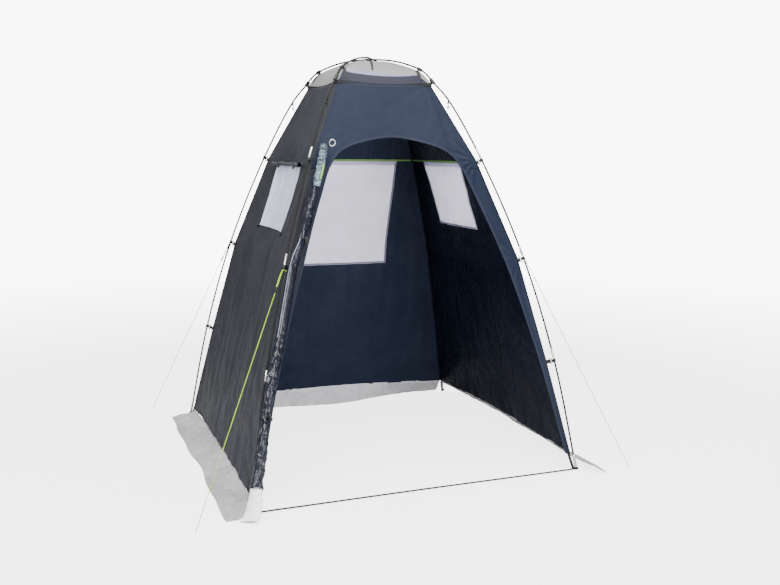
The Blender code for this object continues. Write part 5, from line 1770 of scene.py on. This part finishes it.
@dataclass
class GuyLines:
    """The four taut lines from the middle clips to the ground."""

    shape: TentShape
    radius: float = 0.00175
    runner: float = 0.10
    ends: dict = field(default_factory=lambda: {
        Corner.FRONT_LEFT: (-1.095, -1.000), Corner.FRONT_RIGHT: (1.095, -0.885),
        Corner.BACK_RIGHT: (1.030, 1.000), Corner.BACK_LEFT: (-1.030, 1.000)})

    def build(self, shop: Shop) -> None:
        """Build each line from its clip to the ground."""
        height = self.shape.clip_heights[1] - 0.012
        half = self.shape.pole_half(height)
        runners = []
        for corner, (x, y) in self.ends.items():
            sx, sy = corner.value
            out = (self.shape.pole_radius + self.radius + 0.0006) / math.sqrt(2.0)
            start = np.array((sx * (half + out), sy * (half + out), height))
            end = np.array((x, y, self.radius + 0.0004))
            way = (end - start) / np.linalg.norm(end - start)
            bars = [round_bar("line", start + (end - start) * np.linspace(0, 1, 40)[:, None], self.radius, 8)]
            aside = np.cross(way, (0.0, 0.0, 1.0))
            aside /= np.linalg.norm(aside)
            spot = start + way * self.runner
            pair = smooth_path([start, start + way * 0.03 + aside * 0.0045, spot + aside * 0.0025], 0.01)
            bars.append(round_bar("pair", pair, self.radius, 8))
            loop = [start, start + (-0.010 * sx, 0.006 * sy, -0.003), start + (-0.022 * sx, 0.010 * sy, -0.009),
                    start + (-0.030 * sx, 0.012 * sy, -0.016)]
            bars.append(round_bar("tail", smooth_path(loop, 0.003), self.radius * 0.8, 8))
            shop.add(f"guy_{corner.label}", joined("guy", bars), Finish.LINE, [f"guy_line_{corner.label}"])
            facing = np.cross(way, aside)
            place = turned_place(spot + aside * 0.002, facing, way)
            runners.append(rounded_box("runner", (0.0040, 0.012, 0.032), place, 0.0014))
        shop.add("guy_runners", joined("runners", runners), Finish.PLASTIC)


@dataclass
class Studio:
    """The floor, the lights and the camera."""

    floor_half: float = 30.0
    horizon: float = 0.0
    low_light: float = 0.40
    high_light: float = 1.08
    backdrop: float = 9.0
    floor_glow: float = 3.4
    fade_start: float = 2.6
    fade_end: float = 7.5
    lamps: tuple = (("overhead", (0.0, -1.5, 5.5), (0.0, -1.4, 0.0), 720.0, 6.0),
                    ("key", (-4.6, -5.0, 3.6), (0.0, 0.0, 0.6), 400.0, 2.2),
                    ("fill", (1.3, -6.2, 0.9), (0.1, 0.0, 0.45), 300.0, 2.4))

    def build(self) -> None:
        """Set up the studio."""
        self.build_floor()
        self.build_lights()
        self.build_camera()

    def build_floor(self) -> None:
        """Build a plain pale floor."""
        mesh = shaped_sheet("floor", 1, 1, lambda u, v: np.stack(
            [(2 * u - 1) * self.floor_half, (2 * v - 1) * self.floor_half, 0 * u], axis=-1))
        floor = bpy.data.objects.new("floor", mesh)
        bpy.context.scene.collection.objects.link(floor)
        material, graph, shader = principled("pale_floor")
        _, place = coordinates(graph)
        cloudy = graph.noise(place, 0.6, 2.0)
        shader.inputs["Specular IOR Level"].default_value = 0.2
        graph.put(shader.inputs["Base Color"], graph.mix(cloudy, (0.44, 0.44, 0.45, 1.0), (0.48, 0.48, 0.49, 1.0)))
        shader.inputs["Roughness"].default_value = 0.8
        shader.inputs["Emission Color"].default_value = (1.0, 1.0, 1.0, 1.0)
        seen = graph.add("ShaderNodeLightPath").outputs["Is Camera Ray"]
        graph.put(shader.inputs["Emission Strength"], graph.math("MULTIPLY", seen, self.floor_glow))
        reach = graph.add("ShaderNodeVectorMath", Vector=place)
        reach.operation = "LENGTH"
        far = graph.ramp(reach.outputs["Value"], self.fade_start, self.fade_end)
        graph.put(shader.inputs["Alpha"], graph.math("SUBTRACT", 1.0, far, clamp=True))
        mesh.materials.append(material)

    def build_lights(self) -> None:
        """Build soft studio light: a bright surround and two broad lamps."""
        world = bpy.data.worlds.new("studio")
        bpy.context.scene.world = world
        world.use_nodes = True
        graph = Graph(world.node_tree)
        node = graph.add("ShaderNodeTexCoord")
        split = graph.add("ShaderNodeSeparateXYZ", Vector=node.outputs["Generated"])
        upward = graph.ramp(split.outputs[2], self.horizon, 0.9)
        soft = graph.mix(upward, (*(self.low_light,) * 3, 1.0), (*(self.high_light,) * 3, 1.0))
        seen = graph.add("ShaderNodeLightPath").outputs["Is Camera Ray"]
        backdrop = graph.mix(seen, soft, (*(self.backdrop,) * 3, 1.0))
        graph.put(world.node_tree.nodes["Background"].inputs[0], backdrop)
        for name, place, aim, power, size in self.lamps:
            lamp = bpy.data.lights.new(name, "AREA")
            lamp.energy = power
            lamp.size = size
            item = bpy.data.objects.new(name, lamp)
            item.location = place
            item.rotation_euler = (Vector(aim) - Vector(place)).to_track_quat("-Z", "Y").to_euler()
            bpy.context.scene.collection.objects.link(item)

    def build_camera(self) -> None:
        """Build the camera that sees the tent as the picture does."""
        yaw, pitch, roll = (math.radians(a) for a in (CAMERA_YAW, CAMERA_PITCH, CAMERA_ROLL))
        ahead = Vector((math.sin(yaw) * math.cos(pitch), math.cos(yaw) * math.cos(pitch), math.sin(pitch)))
        level = Vector((math.cos(yaw), -math.sin(yaw), 0.0))
        upright = level.cross(ahead)
        right = level * math.cos(roll) + upright * math.sin(roll)
        up = -level * math.sin(roll) + upright * math.cos(roll)
        data = bpy.data.cameras.new("camera")
        data.sensor_fit = "HORIZONTAL"
        data.sensor_width = SENSOR_WIDTH
        data.lens = SENSOR_WIDTH * FOCAL_PIXELS / IMAGE_WIDTH
        camera = bpy.data.objects.new("camera", data)
        camera.matrix_world = Matrix.Translation(CAMERA_PLACE) @ Matrix((right, up, -ahead)).transposed().to_4x4()
        bpy.context.scene.collection.objects.link(camera)
        bpy.context.scene.camera = camera


def main() -> None:
    """Build the tent's looks in order."""
    logging.basicConfig(level=logging.INFO, format="%(name)s: %(message)s")
    shape = TentShape()
    creases = Creases(shape)
    shop = Shop()
    Studio().build()
    windows = {Side.LEFT: Window(0.235, 1.170, 1.507), Side.RIGHT: Window(0.235, 1.170, 1.507),
               Side.BACK: Window(0.320, 0.905, 1.507)}
    for side, window in windows.items():
        back = side is Side.BACK
        finish = Finish.NAVY if back else Finish.CHARCOAL
        wall = Wall(side, finish, window, shape, creases, inset=0.0012 if back else 0.0,
                    row_shares=(0.46, 0.31, 0.23) if back else (0.60, 0.17, 0.23),
                    inner=Finish.NAVY_INNER if back else Finish.DARK_INNER, hollow=0.010 if side is Side.LEFT else 0.0,
                    hem_drop=LEFT_HEM_DROP if side is Side.LEFT else 0.0)
        wall.build(shop)
        Curtain(wall, shape).build(shop)
    DoorFront(shape, creases).build(shop)
    RolledDoor(shape).build(shop)
    CornerSeams(shape).build(shop)
    RoofCap(shape).build(shop)
    PoleFrame(shape).build(shop)
    Clips(shape).build(shop)
    TopTies(shape).build(shop)
    Skirts(shape).build(shop)
    Threshold(shape).build(shop)
    GuyLines(shape).build(shop)
    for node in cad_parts:
        if node.startswith(("eave_hook", "roof_hanger")):
            shop.dress(node, Finish.PLASTIC)
        elif node.startswith("foot_strap"):
            shop.dress(node, Finish.WEBBING)


if __name__ == "__main__":
    main()
